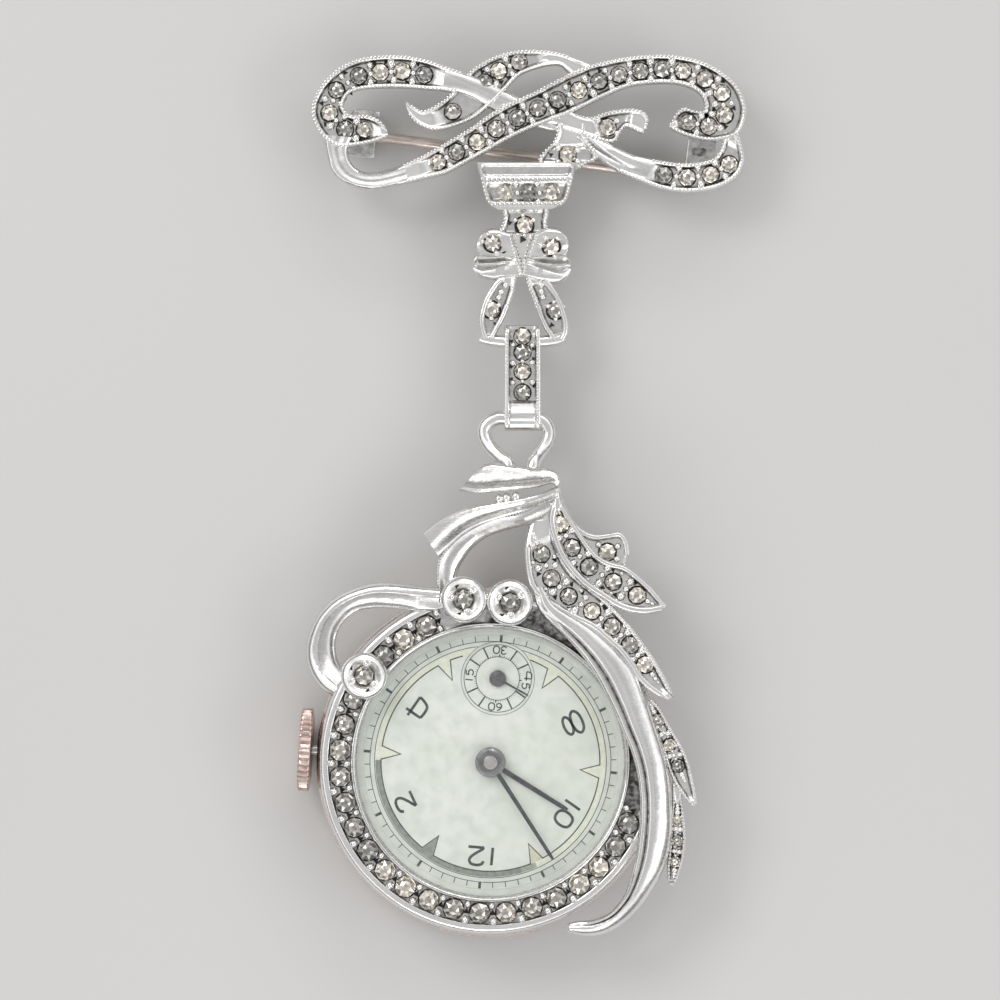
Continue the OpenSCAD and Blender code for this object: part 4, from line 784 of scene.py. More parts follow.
def rounded(low_x, low_y, high_x, high_y, r):
    """Corners of a plate, each rounded with radius r."""
    made = []
    for x, y, start in ((high_x - r, high_y - r, 0), (low_x + r, high_y - r, 90),
                        (low_x + r, low_y + r, 180), (high_x - r, low_y + r, 270)):
        for k in range(6):
            a = math.radians(start + 18 * k)
            made.append((x + r * math.cos(a), y + r * math.sin(a)))
    return made


def bevelled(bm, edges, offset):
    """Rounds the edges in two steps."""
    bmesh.ops.bevel(bm, geom=edges, offset=offset, segments=2, affect="EDGES", profile=0.5, material=-1)


def slab(piece, outline, low, high, place=Matrix.Identity(4), finish=0, soft=0.05, dark=0.0):
    """A flat outline given thickness, with softened edges."""
    bm = new_shape()
    face = bm.faces.new([bm.verts.new((x, y, low)) for x, y in outline])
    out = bmesh.ops.extrude_face_region(bm, geom=[face])["geom"]
    bmesh.ops.translate(bm, verts=points_of(out), vec=(0, 0, high - low))
    bmesh.ops.recalc_face_normals(bm, faces=bm.faces[:])
    if soft:
        bevelled(bm, bm.edges[:], soft)
    bmesh.ops.transform(bm, matrix=place, verts=bm.verts[:])
    bmesh.ops.recalc_face_normals(bm, faces=bm.faces[:])
    give_finish(bm, finish)
    mark = bm.verts.layers.float["oxide_and_shade"]
    for v in bm.verts:
        v[mark] = dark
    keep(piece, bm)


def wire(piece, path, r, count=14):
    """Round wire along a path, with painted shade underneath."""
    rings = []
    for i, point in enumerate(path):
        along = (path[min(i + 1, len(path) - 1)] - path[max(i - 1, 0)]).normalized()
        across = along.cross(up(1)).normalized()
        over = across.cross(along)
        ring = []
        for k in range(count):
            a = math.tau * k / count
            out = math.cos(a) * across + math.sin(a) * over
            # Painted shade on the wire's underside
            ring.append((point + r * out, 0 if math.sin(a) > -0.3 else 0.4))
        rings.append(ring)
    keep(piece, drawn(rings))


def edge_wire(piece, at, u0, u1, side, r):
    """A smooth round border, half sunk, along one edge of a band."""
    wire(piece, edge_line(at, u0, u1, side, r, 26), r, 10)


def place_in_scene(thing):
    """Puts a new object in the scene."""
    bpy.context.scene.collection.objects.link(thing)


def finished(bm, name, materials, replaces, body="root", smooth=38):
    """Makes the piece an object in metres, smooth but for its stones and sharp edges, on its body."""
    limit = math.radians(smooth)
    for f in bm.faces:
        f.smooth = f.material_index != STONE
    for e in bm.edges:
        e.smooth = e.is_manifold and e.calc_face_angle(0) < limit
    bmesh.ops.scale(bm, vec=(MM, MM, MM), verts=bm.verts[:])
    mesh = kept_mesh(bm, name)
    for material in materials:
        mesh.materials.append(material)
    piece = bpy.data.objects.new(name, mesh)
    place_in_scene(piece)
    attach(piece, body)
    if replaces:
        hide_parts(*replaces)


# Beads, stones and their seats
def small_ball(across, rows, height=1.0):
    """A ball of radius 1, drawn out to this height."""
    bm = new_shape()
    bmesh.ops.create_uvsphere(bm, u_segments=across, v_segments=rows, radius=1)
    bmesh.ops.scale(bm, vec=(1, 1, height), verts=bm.verts[:])
    return kept_mesh(bm, "small")


def cut_stone_mesh():
    """Eight-sided stone with a girdle, two tiers of facets and a small table, one across and one high."""
    def ring(r, z, turn=0):
        angles = (math.tau * (k + turn) / 8 for k in range(8))
        return [(Vector((r * math.cos(a), r * math.sin(a), z)), 0) for a in angles]

    bm = drawn([ring(0.47, -0.3), ring(0.5, 0.18), ring(0.485, 0.56), ring(0.25, 0.9, 0.5), ring(0.1, 1.0)],
               STONE)
    bmesh.ops.triangulate(bm, faces=[f for f in bm.faces if len(f.verts) == 4])
    bmesh.ops.recalc_face_normals(bm, faces=bm.faces[:])
    return kept_mesh(bm, "cut_stone")


def seat_mesh(segments):
    """Dark disc of radius 1 whose top is at 0."""
    bm = new_shape()
    bmesh.ops.create_cone(bm, cap_ends=True, segments=segments, radius1=1, radius2=0.97, depth=1)
    bmesh.ops.translate(bm, verts=bm.verts[:], vec=(0, 0, -0.5))
    give_finish(bm, SEAT)
    return kept_mesh(bm, "seat")


grain = small_ball(6, 4)
prong = small_ball(8, 6, 1.25)
ball = small_ball(20, 12)
stone_mesh = cut_stone_mesh()
seat_disc = seat_mesh(20)
cut_shade_disc = seat_mesh(3)


def bead(piece, point, r, mesh=prong):
    """A prong, a grain or a ball at point."""
    copy_to(piece, mesh, Matrix.Translation(point) @ Matrix.Scale(r, 4))


def milgrain(piece, at, u0, u1, side, inset=0.12, lift=0.02, r=0.15, pitch=0.31):
    """A row of fine grains along one edge of a band."""
    line_steps = max(2, int((u1 - u0) * 6))
    for point in resampled(edge_line(at, u0, u1, side, inset, line_steps), pitch):
        bead(piece, point + up(lift), r * chance.uniform(0.9, 1.08), grain)


def painted_cut_shade(piece, point, r, turn):
    """Small black triangle beside a prong: painted shade standing for the pit cut there."""
    shape = Matrix.Rotation(turn, 4, "Z") @ Matrix.Diagonal((r, r, 0.1, 1))
    copy_to(piece, cut_shade_disc, Matrix.Translation(point) @ shape)


def set_stone(piece, point, d, h=0.66, rim=0.07):
    """A stone at a little tilt on the floor at point, in its near-black ring, partly blackened metal and
    partly painted shade.
    """
    ring = Matrix.Diagonal((d / 2 + rim, d / 2 + rim, 0.12, 1))
    copy_to(piece, seat_disc, Matrix.Translation(point + up(0.035)) @ ring)
    tilt = Matrix.Rotation(math.radians(chance.uniform(-8, 8)), 4, "X") \
        @ Matrix.Rotation(math.radians(chance.uniform(-8, 8)), 4, "Y")
    turn = Matrix.Rotation(chance.uniform(0, math.tau), 4, "Z")
    size = Matrix.Diagonal((d, d * chance.uniform(0.95, 1.0), h, 1))
    copy_to(piece, stone_mesh, Matrix.Translation(point) @ tilt @ turn @ size, [("tone", chance.random())])


def ring_lone_stone(piece, spot, d, r):
    """Four prongs and a black triangle of painted shade, for a cut, round a stone that stands alone."""
    for turn in (35, 140, 215, 320):
        bead(piece, polar(0.66 * d, turn + chance.uniform(-12, 12), 0.2, spot), 0.85 * r)
    painted_cut_shade(piece, polar(0.95 * d, 178, 0.09, spot), 0.24, 1)


def fill_gap(piece, a, b, d, reach, r, within):
    """Prongs and black triangles of painted shade, for cuts, on both sides of the gap between two stones, and
    small beads in a wide gap.
    """
    gap = (b - a).length
    along = (b - a).normalized()
    out = Vector((-along.y, along.x, 0)).normalized()
    for side in (-1, 1):
        slip = chance.uniform(-0.1, 0.1) * gap
        corner = within((a + b) / 2 + out * side * reach * d + along * slip)
        bead(piece, corner + up(0.26), r * chance.uniform(0.85, 1.15))
        cut = corner + along * chance.choice((-1, 1)) * 1.2 * r + out * side * 0.45 * r
        painted_cut_shade(piece, cut + up(0.09), 0.8 * r, chance.uniform(0, 2))
    if gap > 1.15 * d:
        bead(piece, (a + b) / 2 + along * chance.uniform(-0.1, 0.1) + up(0.16), 0.8 * r)
    if gap > 1.6 * d:
        for shift in (-0.22, 0.2):
            spot = (a + b) / 2 + along * shift * gap + out * chance.uniform(-0.2, 0.2) * d
            bead(piece, spot + up(0.1), 0.66 * r)


def set_row(piece, places, d, reach=0.47, r=0.34, apart=1.9, within=lambda point: point):
    """Stones along a band, with bead prongs beside each gap that is under apart stones long."""
    for point in places:
        set_stone(piece, point, d * chance.uniform(0.97, 1.04))
    if len(places) == 1:
        ring_lone_stone(piece, places[0], d, r)
    for a, b in zip(places, places[1:]):
        if (b - a).length < apart * d:
            fill_gap(piece, a, b, d, reach, r, within)


# Brooch, cup and bow
# Faces as (share, lift, darkening): edges and grooves darkened, partly oxide, partly painted shade
GROOVED = [(0, -0.16, 0.25), (0.05, -0.02, 0), (0.16, 0.08, 0), (0.28, 0.06, 0), (0.4, -0.06, 0.22),
    (0.5, -0.1, 0.3), (0.6, -0.06, 0.22), (0.72, 0.06, 0), (0.84, 0.08, 0), (0.95, -0.02, 0),
    (1, -0.16, 0.25)]
KNOT_FACE = [(0, -0.25, 0.8), (0.08, -0.05, 0.5), (0.3, 0.18, 0), (0.5, 0.26, 0), (0.7, 0.18, 0),
    (0.92, -0.05, 0.5), (1, -0.25, 0.8)]


def crossing_face(u, width):
    """Polished crossing band: round backed, with a crease opening towards its lower end."""
    crease = fade(u, 5, 11.5, 2.5)
    # Edges and crease darkened: partly oxide, partly painted shade
    return [(0, -0.2, 0.3), (0.05, -0.04, 0), (0.18, 0.12, 0), (0.36, 0.2, 0), (0.5, 0.2 - 0.1 * crease, 0),
            (0.62, 0.17 - 0.3 * crease, 0.6 * crease), (0.74, 0.13 - 0.1 * crease, 0.1 * crease),
            (0.86, 0.06, 0), (0.95, -0.05, 0), (1, -0.2, 0.3)]


def cup_face(u, width):
    """Plain hollow band of the cup, then its set one."""
    hollow = 0.22 * fade(u, 0.15, 1.85, 0.5)
    channel = 0.36 * fade(u, 2.0, 4.6, 0.8)
    deep = hollow + channel
    dark = darkness(channel)
    # Hollow and channel darkened: partly oxide, partly painted shade
    half = [(0, -0.22, 0.3), (0.05, -0.06, 0), (0.12, 0, 0), (0.3, 0, 0), (0.44, -0.5 * deep, 0.5 * dark),
            (0.56, -deep, 0.5 * dark + 1.5 * hollow), (0.9, -deep, 0.34 * dark + 1.3 * hollow)]
    return mirrored(half, width, 1.8)


def petal_face(depth, u0, u1, flutes, flipped):
    """Face with a rim on its outer edge, flutes, and a low ridge where two petals meet."""
    def face(u, width):
        deep = depth * fade(u, u0, u1, 2.2)
        dark = darkness(deep, 0.25)
        # Flutes and rims darkened with depth: partly oxide, partly painted shade
        rows = [(0, -0.24, 0.25), (0.06, -0.05, 0), (0.14, 0.04, 0), (0.21, 0.0, 0.02 * dark)]
        count = 6 * flutes
        spread = 0.4 + 0.6 * min(u / 4, 1)
        for k in range(count + 1):
            wave = 0.5 - 0.5 * math.cos(math.tau * flutes * k / count)
            if flutes > 1 and k <= count / 2:
                wave *= 0.6
            share = 1 - spread * (0.74 - 0.62 * k / count)
            rows.append((share, -deep * (0.06 + 0.94 * wave), dark * (0.02 + 0.44 * wave)))
        rows += [(0.93, -0.03, 0.1 * dark), (0.97, -0.05, 0.5 * dark), (1, 0.02, 0.1 * dark)]
        return [(1 - share, lift, mark) for share, lift, mark in reversed(rows)] if flipped else rows
    return face


def brooch_band(piece, rows, top, start, end, stones, grains):
    """A set band of the brooch, with its stones and the grains on its rims."""
    at = sides(rows, brooch_at, top)
    face = set_face(band_rim, band_depth, start, end, 0.24, 0.95)
    strip(piece, at, stations(rows, BAND_STEPS), face, low=brooch_back)
    floor = top - band_depth - seat_drop
    set_row(piece, [near_middle(at, len(rows) - 1, put(brooch_at, x, y, floor)) for x, y in stones],
            brooch_stone)
    for side, u0, u1 in grains:
        milgrain(piece, at, u0, u1, side)


def make_brooch():
    """The scrolled brooch, from its lowest band to the long one on top, with all that is soldered to it."""
    piece = new_shape()
    brooch_band(piece, BACK, low_top - 0.1, 3, 13, BACK_STONES, [(0, 1, 14.5), (1, 1, 10)])
    brooch_band(piece, SHOOT, low_top - 0.15, 2, 5.2, SHOOT_STONES, [(0, 0.5, 5.5), (1, 0.5, 5.5)])
    brooch_band(piece, TENDRIL, low_top - 0.05, 2, 6, TENDRIL_STONES, [(0, 1, 9), (1, 1, 9)])
    brooch_band(piece, LOOP, low_top, 0.6, 14.2, LOOP_STONES, [(0, 0.5, 15), (1, 0.3, 15)])
    brooch_band(piece, FOOT, low_top + 0.1, 0.9, 8.6, FOOT_STONES, [(0, 1, 9), (1, 0, 9)])
    for rows, face in ((CROSS_DOWN, crossing_face), (TURN, ribbon_face(GROOVED))):
        strip(piece, sides(rows, brooch_at, low_top), stations(rows, BAND_STEPS), face, thick=1.15)
    brooch_band(piece, LONG, high_top - 0.02, 0.9, 25.4, LONG_STONES, [(0, 0, 26), (1, 0, 26)])
    make_cup(piece)
    make_bow(piece)
    make_hinge_and_catch(piece)
    finished(piece, "brooch_and_bow", METAL, ["brooch_frame", "brooch_stones", "bow_stones"])


def make_cup(piece):
    """Small pot under the brooch: a plain hollow band over a set one, with grains between, on its neck."""
    top = bow_top + 0.33
    at = sides(CUP, bow_at, top)
    strip(piece, at, stations(CUP, 8), cup_face, low=brooch_back + 0.1)
    set_row(piece, [put(bow_at, x, y, top - 0.42) for x, y in CUP_STONES], bow_stone, reach=0.5)
    for u in (2.0, 4.95):
        left, right = at(u)
        for point in resampled([left.lerp(right, 0.08), left.lerp(right, 0.92)], 0.38):
            bead(piece, point + up(0.09), 0.2, grain)
    for side in (0, 1):
        milgrain(piece, at, 1.9, 5, side)
    neck = sides(NECK, bow_at, bow_top - 0.1)
    strip(piece, neck, stations(NECK, BAND_STEPS), set_face(0.4, 0.3, 0.2, 3.6), low=bow_back - 0.1)
    for side in (0, 1):
        milgrain(piece, neck, 0.3, 4.2, side, lift=0.03)
    for x, y in NECK_BEADS:
        bead(piece, put(bow_at, x, y, bow_top - 0.15), 0.2)


def make_bow(piece):
    """Two fluted wings over two lobes, two set tails, the knot, and the bar that the link hangs from."""
    for rows, flipped in ((WING_LEFT, True), (WING_RIGHT, False)):
        strip(piece, sides(rows, bow_at, bow_top + 0.26), stations(rows, BAND_STEPS),
              petal_face(0.16, 0.4, 6, 1, flipped), low=bow_back + 0.05)
    for rows, flipped in ((LOBE_LEFT, False), (LOBE_RIGHT, True)):
        strip(piece, sides(rows, bow_at, bow_top + 0.24), stations(rows, BAND_STEPS),
              petal_face(0.5, 0.2, 6.6, 2, flipped), low=bow_back + 0.1)
    for rows, inner in ((TAIL_LEFT, 0), (TAIL_RIGHT, 1)):
        at = sides(rows, bow_at, bow_top + 0.1)
        strip(piece, at, stations(rows, BAND_STEPS), set_face(0.4, 0.34, 1.2, 7.9), low=bow_back)
        milgrain(piece, at, 0.4, 4, inner, lift=0.05)
        edge_wire(piece, at, 1.2, 7.8, 1 - inner, 0.25)
        edge_wire(piece, at, 3.8, 7.8, inner, 0.22)
        for u in (1.6, 2.5, 3.2):
            bead(piece, middle(at, u) + Vector((chance.uniform(-0.25, 0.25), 0, -0.24)), 0.3)
    for rows in (KNOT_LEFT, KNOT_RIGHT):
        at = sides(rows, bow_at, bow_top + 0.3)
        strip(piece, at, stations(rows, BAND_STEPS), ribbon_face(KNOT_FACE), low=bow_back + 0.15)
        for side in (0, 1):
            milgrain(piece, at, 0.1, 3.9, side, inset=0.05, lift=0.03, r=0.1)
    for x, y, floor in (stone[:3] for stone in BOW_STONES):
        set_stone(piece, put(bow_at, x, y, bow_top + floor), bow_stone, 0.6, 0.12)
    painted_cut_shade(piece, put(bow_at, 50.5, 58.2, bow_top + 0.34), 0.34, 0.5)
    for x, y, _, lift, reach, start, pit in BOW_STONES[1:] + BOW_STONES[:1]:
        spot = put(bow_at, x, y)
        for turn in (30, 100, 150, 270):
            bead(piece, polar(reach, turn + start, bow_top + lift, spot), chance.uniform(0.2, 0.27))
        painted_cut_shade(piece, polar(1.2, pit, bow_top + lift - 0.08, spot), 0.24, math.radians(pit))
    bar_y = bow_at[1] + 0.5
    path = [Vector((hang_x + t * 0.43 * bow_w, bar_y + 0.35 * t ** 4, hang_z)) for t in
            (-1, -0.96, -0.9, -0.75, -0.5, -0.2, 0.2, 0.5, 0.75, 0.9, 0.96, 1)]
    wire(piece, path, 0.49)


def pin_place(x=0.0, y=0.0):
    """Places a shape on the pin's axis, X along the pin from its hinge."""
    pivot = Matrix.Translation(put(brooch_at, 11.7, 42, pin_z))
    return pivot @ Matrix.Rotation(math.radians(pin_turn), 4, "Z") @ Matrix.Translation((x, y, 0))


def make_hinge_and_catch(piece):
    """Bracket with two round ears and a rivet for the pin, and the open tube of the catch on its post."""
    upright = Matrix.Rotation(math.radians(90), 4, "X")
    ear_r, ear_y, ear_half = 1.15, 1.43, 0.45
    ear = [polar(ear_r, a, about=Vector()).xy for a in range(180, 361, 12)] + [(ear_r, 2.1), (-ear_r, 2.1)]
    for side in (-1, 1):
        slab(piece, ear, -ear_half, ear_half, pin_place(0, side * ear_y) @ upright, soft=0.06)
    # Darker plate under the hinge: partly older metal, partly painted shade where it lies low
    slab(piece, rounded(-ear_r, -1.88, ear_r, 1.88, 0.6), plate_low, plate_high, pin_place(), soft=0.12,
         dark=0.6)
    rivet = bright_section([(0, -1.9), (0.26, -1.9), (0.3, -1.86), (0.3, 1.86), (0.26, 1.9), (0, 1.9)])
    turned(piece, rivet, pin_place() @ upright, steps=24, loop=False)

    at_catch = pin_place(catch_x)
    along = Matrix.Rotation(math.radians(90), 4, "Y")
    # Tube ends darkened inside: partly oxide, partly painted shade
    tube = [(0.79, -0.8, 0.5), (0.98, -0.8, 0), (1.03, -0.75, 0), (1.03, 0.75, 0), (0.98, 0.8, 0),
            (0.79, 0.8, 0.5)]
    turned(piece, tube, at_catch @ along, steps=40, angle=298, start=31)
    slab(piece, [(-0.78, -0.5), (0.78, -0.5), (0.78, 0.5), (-0.78, 0.5)], 0.84, 2.15, at_catch)
    # Darker plate under the catch: partly older metal, partly painted shade where it lies low
    slab(piece, rounded(-1.5, -0.9, 0.8, 3.5, 0.25), plate_low, plate_high, at_catch, soft=0.12, dark=0.5)
    # A thin sheet painted near-black: painted shade standing for the catch's slot
    slab(piece, rounded(-1.1, 1.75, 0.1, 2.4, 0.25), 2.7, 2.775, at_catch, soft=0, dark=0.8)


# Link
def link_strip():
    """The folded strip round the bow's bar and the watch's loop."""
    bm = new_shape()
    fold_r = link_fold / 2
    outline = []
    for end, start in ((1, 90), (-1, 270)):
        for k in range(17):
            a = math.radians(start - 180 * k / 16)
            outline.append(Vector((hang_x - link_w / 2, link_y + end * link_half + fold_r * math.cos(a),
                                   hang_z + fold_r * math.sin(a))))
    verts = [bm.verts.new(p) for p in outline]
    edges = [bm.edges.new((verts[k - 1], verts[k])) for k in range(len(verts))]
    out = bmesh.ops.extrude_edge_only(bm, edges=edges)["geom"]
    bmesh.ops.translate(bm, verts=points_of(out), vec=(link_w, 0, 0))
    bmesh.ops.recalc_face_normals(bm, faces=bm.faces[:])
    bmesh.ops.solidify(bm, geom=bm.faces[:], thickness=link_wall)
    bmesh.ops.recalc_face_normals(bm, faces=bm.faces[:])
    bevelled(bm, [e for e in bm.edges if e.calc_face_angle(0) > 1.2], 0.05)
    return bm


def link_face(t, width):
    """Front of the link: a small plain cell at its lower end, then the stones' channel."""
    cell = 0.3 * fade(t, 0.03, 0.2, 0.07)
    channel = 0.4 * fade(t, 0.22, 0.99, 0.04)
    deep = cell + channel
    dark = darkness(channel)
    # Channel and cell darkened: partly oxide, partly painted shade
    half = [(0, -0.12, 0.2), (0.04, -0.03, 0), (0.1, 0, 0), (0.22, 0.03, 0), (0.33, 0, 0),
            (0.39, -0.04 - 0.2 * deep, 0.2 * dark), (0.46, -0.9 * deep, 0.6 * dark + 0.3 * (cell > 0.1)),
            (0.6, -deep, 0.2 * dark)]
    return mirrored(half, width, 2)


def make_link():
    """The folded strip with its set front, which follows the folds down at both ends."""
    piece = new_shape()
    keep(piece, link_strip())
    low_y, high_y = link_low.y + 0.3, link_high.y - 0.12
    fold_r = link_fold / 2

    def at(t):
        y = low_y + (high_y - low_y) * t
        below = max(0, (link_y - link_half) - y) / fold_r
        above = max(0, y - (link_y + link_half)) / fold_r
        drop = fold_r * (1 - math.sqrt(max(0, 1 - min(1, max(below, above)) ** 2)))
        z = link_high.z - drop * (0.8 if below else 0.75)
        half_w = link_w * (0.5 + 0.006 * (0.5 - t))
        return Vector((hang_x - half_w, y, z)), Vector((hang_x + half_w, y, z))

    steps = [k / 30 for k in range(31)]
    extra = [0.03, 0.07, 0.12, 0.17, 0.24, 0.28, 0.32, 0.88, 0.93, 0.97]
    rings = []
    for t in sorted(steps + extra):
        left, right = at(t)
        face = link_face(t, (right - left).length)
        ring = [(left.lerp(right, share) + up(lift), dark) for share, lift, dark in face]
        foot = left.z - 0.55
        # Painted shade on the strip's sides
        ring += [(Vector((right.x, right.y, foot)), 0.2), (Vector((left.x, left.y, foot)), 0.2)]
        rings.append(ring)
    keep(piece, drawn(rings))
    places = [Vector((hang_x, y, at((y - low_y) / (high_y - low_y))[0].z - 0.42)) for y in LINK_STONES]
    set_row(piece, places, link_stone, reach=0.56, r=0.25)
    for side, inset in ((0, 0.17), (1, -0.17)):
        points = [at(k / 30)[side] + Vector((inset, 0, 0.02)) for k in range(1, 30)]
        for point in resampled(points, 0.27):
            bead(piece, point, 0.11, grain)
    finished(piece, "link_and_stones", METAL, ["link", "link_stones"])


# Bezel and scrollwork
# Faces as (share, lift, darkening): edges and hollows darkened, partly oxide, partly painted shade
UPPER_FACE = [(0, -0.2, 0.3), (0.05, -0.02, 0), (0.14, 0.04, 0), (0.3, -0.1, 0.1), (0.5, -0.2, 0.16),
    (0.66, -0.16, 0.2), (0.73, -0.05, 0.3), (0.79, 0.16, 0), (0.86, 0.27, 0), (0.93, 0.2, 0), (0.98, 0.02, 0),
    (1, -0.2, 0.3)]
LOWER_FACE = [(0, -0.22, 0.3), (0.04, -0.02, 0), (0.12, 0.1, 0), (0.24, 0.04, 0.05), (0.42, -0.1, 0.12),
    (0.6, -0.08, 0.1), (0.76, 0.08, 0), (0.88, 0.17, 0), (0.96, 0.05, 0), (1, -0.2, 0.3)]
UNDER_FACE = [(0, -0.2, 0.3), (0.06, -0.02, 0), (0.18, 0.1, 0), (0.3, 0, 0.15), (0.5, -0.1, 0.22),
    (0.7, 0, 0.15), (0.82, 0.1, 0), (0.94, -0.02, 0), (1, -0.2, 0.3)]


def curl_face(u, width):
    """Broad bright outer rim, a shallow hollow, then a thin inner rim."""
    hollow = fade(u, 0.3, 11.5, 2.5)
    # Edges and hollow darkened: partly oxide, partly painted shade
    return [(0, -0.22, 0.3), (0.04, -0.04, 0), (0.14, 0.17, 0), (0.26, 0.23, 0), (0.36, 0.16, 0),
            (0.42, 0.02 * (1 - hollow) - 0.06 * hollow, 0.35 * hollow),
            (0.52, 0.16 - 0.3 * hollow, 0.22 * hollow), (0.66, 0.16 - 0.32 * hollow, 0.18 * hollow),
            (0.79, 0.12 - 0.24 * hollow, 0.22 * hollow), (0.86, 0.06 - 0.06 * hollow, 0.25 * hollow),
            (0.91, 0.08, 0), (0.96, 0, 0), (1, -0.2, 0.3)]


def sweep_face(u, width):
    """Broad polished back with a groove near its inner edge and a rounded bead beyond."""
    groove = fade(u, 1.5, 22.5, 2.5)
    bead_rise = 0.14 * groove
    # Edges and groove darkened: partly oxide, partly painted shade
    return [(0, -0.3, 0.3), (0.03, -0.1, 0), (0.1, 0.07, 0), (0.22, 0.2, 0), (0.36, 0.26, 0), (0.5, 0.26, 0),
            (0.62, 0.2, 0), (0.7, 0.12 - 0.06 * groove, 0.1 * groove),
            (0.755, 0.08 - 0.26 * groove, 0.75 * groove), (0.8, 0.05 - 0.02 * groove, 0.3 * groove),
            (0.85, 0.03 + bead_rise, 0), (0.9, bead_rise, 0), (0.95, -0.05 + 0.5 * bead_rise, 0),
            (1, -0.3, 0.3)]


def bezel_section():
    """Outer wall, stone channel, stepped inner rim and the groove for the glass."""
    top, low, h, r, bore, floor = bezel_top, bezel_low, bezel_h, bezel_r, bezel_bore, ring_floor
    groove_r, groove_low = bore - 0.16, low + 0.44 * h
    # Channel floor, walls and grooves darkened: partly oxide, partly painted shade
    outer = [(bore, low, 0.3), (0.964 * r, low, 0.5), (0.99 * r, low + 0.14 * h, 0.3), (r, low + 0.3 * h, 0),
             (r, low + 0.6 * h, 0), (0.998 * r, low + 0.8 * h, 0), (0.99 * r, low + 0.92 * h, 0),
             (0.978 * r, low + 0.985 * h, 0), (0.965 * r, top, 0), (0.951 * r, top - 0.01, 0)]
    channel = [(13.13, top - 0.05, 0.2), (13.08, top - 0.16, 0.6), (13.05, floor + 0.05, 0.7),
               (12.95, floor, 0.5), (12.6, floor, 0.35), (11.8, floor, 0.35), (11.42, floor, 0.5),
               (11.32, floor + 0.05, 0.7), (11.3, top - 0.3, 0.3)]
    inner = [(11.27, top - 0.16, 0.05), (11.22, top - 0.11, 0), (11.16, top - 0.13, 0),
             (11.14, top - 0.22, 0.45), (11.11, top - 0.22, 0.45), (11.09, top - 0.13, 0),
             (11.04, top - 0.11, 0), (10.99, top - 0.16, 0.05), (10.96, top - 0.26, 0.35),
             (10.93, top - 0.26, 0.35), (bore, top - 0.34, 0.1)]
    groove = [(bore, groove_low + 0.27, 0.4), (groove_r, groove_low + 0.27, 0.3), (groove_r, groove_low, 0.3),
              (bore, groove_low, 0.4)]
    return outer + channel + inner + groove


def make_bezel_ring(piece):
    """Turned ring round the dial, with its stones, prongs, cuts and a grained foot."""
    turned(piece, bezel_section(), Matrix.Translation(centre), steps=160)
    # Painted shadow: the bare channel floor, where no stones sit, is darkened from -19 to 92 degrees
    mark = piece.verts.layers.float["oxide_and_shade"]
    for v in piece.verts:
        out = v.co - centre
        in_channel = 11.2 < out.xy.length < 13 and v.co.z < ring_floor + 0.3
        if in_channel and -19 < math.degrees(math.atan2(out.y, out.x)) < 92:
            v[mark] = 0.9

    rosettes = [put(field_at, x, y) for x, y in ROSETTES]

    def clear(spot, room):
        """Whether the spot is farther than room from all rosettes."""
        return min((spot - rosette).xy.length for rosette in rosettes) > room

    step = 10.05
    for k in range(24):
        turn = -23.8 - step * k
        spot = polar(ring_stone_r, turn, ring_floor - 0.03)
        if k < 23 and clear(spot, 1.55):
            set_stone(piece, spot, ring_stone * chance.uniform(0.96, 1.02), 0.86, 0.05)
        between = turn + step / 2
        if clear(polar(ring_stone_r, between), 1.9):
            bead(piece, polar(12.84, between + chance.uniform(-0.4, 0.4), bezel_top - 0.2), 0.36)
            bead(piece, polar(11.6, between + chance.uniform(-0.4, 0.4), bezel_top - 0.27), 0.3)
            painted_cut_shade(piece, polar(12.2, between, ring_floor + 0.06), 0.32, math.radians(between + 90))
    grains = 318
    for k in range(grains):
        bead(piece, polar(13.74, k * 360 / grains, bezel_low + 0.16), 0.12 * chance.uniform(0.9, 1.05), grain)


def make_rosette(piece, x, y):
    """Wide cup on a narrow foot, with a bright dish and two small cuts round the stone."""
    spot = put(field_at, x, y)
    low = bezel_top - 0.99
    seat_z = low + 1.3
    # Foot and dish bottom darkened: partly oxide, partly painted shade
    section = [(r, low + z, dark) for r, z, dark in (
        (0, 0, 0), (0.95, 0, 0.4), (0.98, 1.05, 0.5), (1.4, 1.12, 0.4), (1.74, 1.22, 0.2), (1.88, 1.45, 0),
        (1.9, 1.7, 0), (1.84, 1.95, 0), (1.74, 2.12, 0), (1.6, 2.2, 0), (1.46, 2.15, 0), (1.32, 2.06, 0.02),
        (1.18, 1.96, 0.04), (1.04, 1.87, 0.06), (0.91, 1.78, 0.12), (0.86, 1.6, 0.4), (0, 1.5, 0.45))]
    turned(piece, section, Matrix.Translation(spot), steps=40, loop=False)
    set_stone(piece, spot + up(seat_z + 0.3), rosette_stone, 0.74, 0.03)
    start = chance.uniform(0, 120)
    for k in range(3):
        bead(piece, polar(0.95, start + 120 * k, seat_z + 0.62, spot), 0.3)
    for turn in (start + 70, start + 205):
        painted_cut_shade(piece, polar(1.22, turn, seat_z + 0.74, spot), 0.24, math.radians(turn + 180))


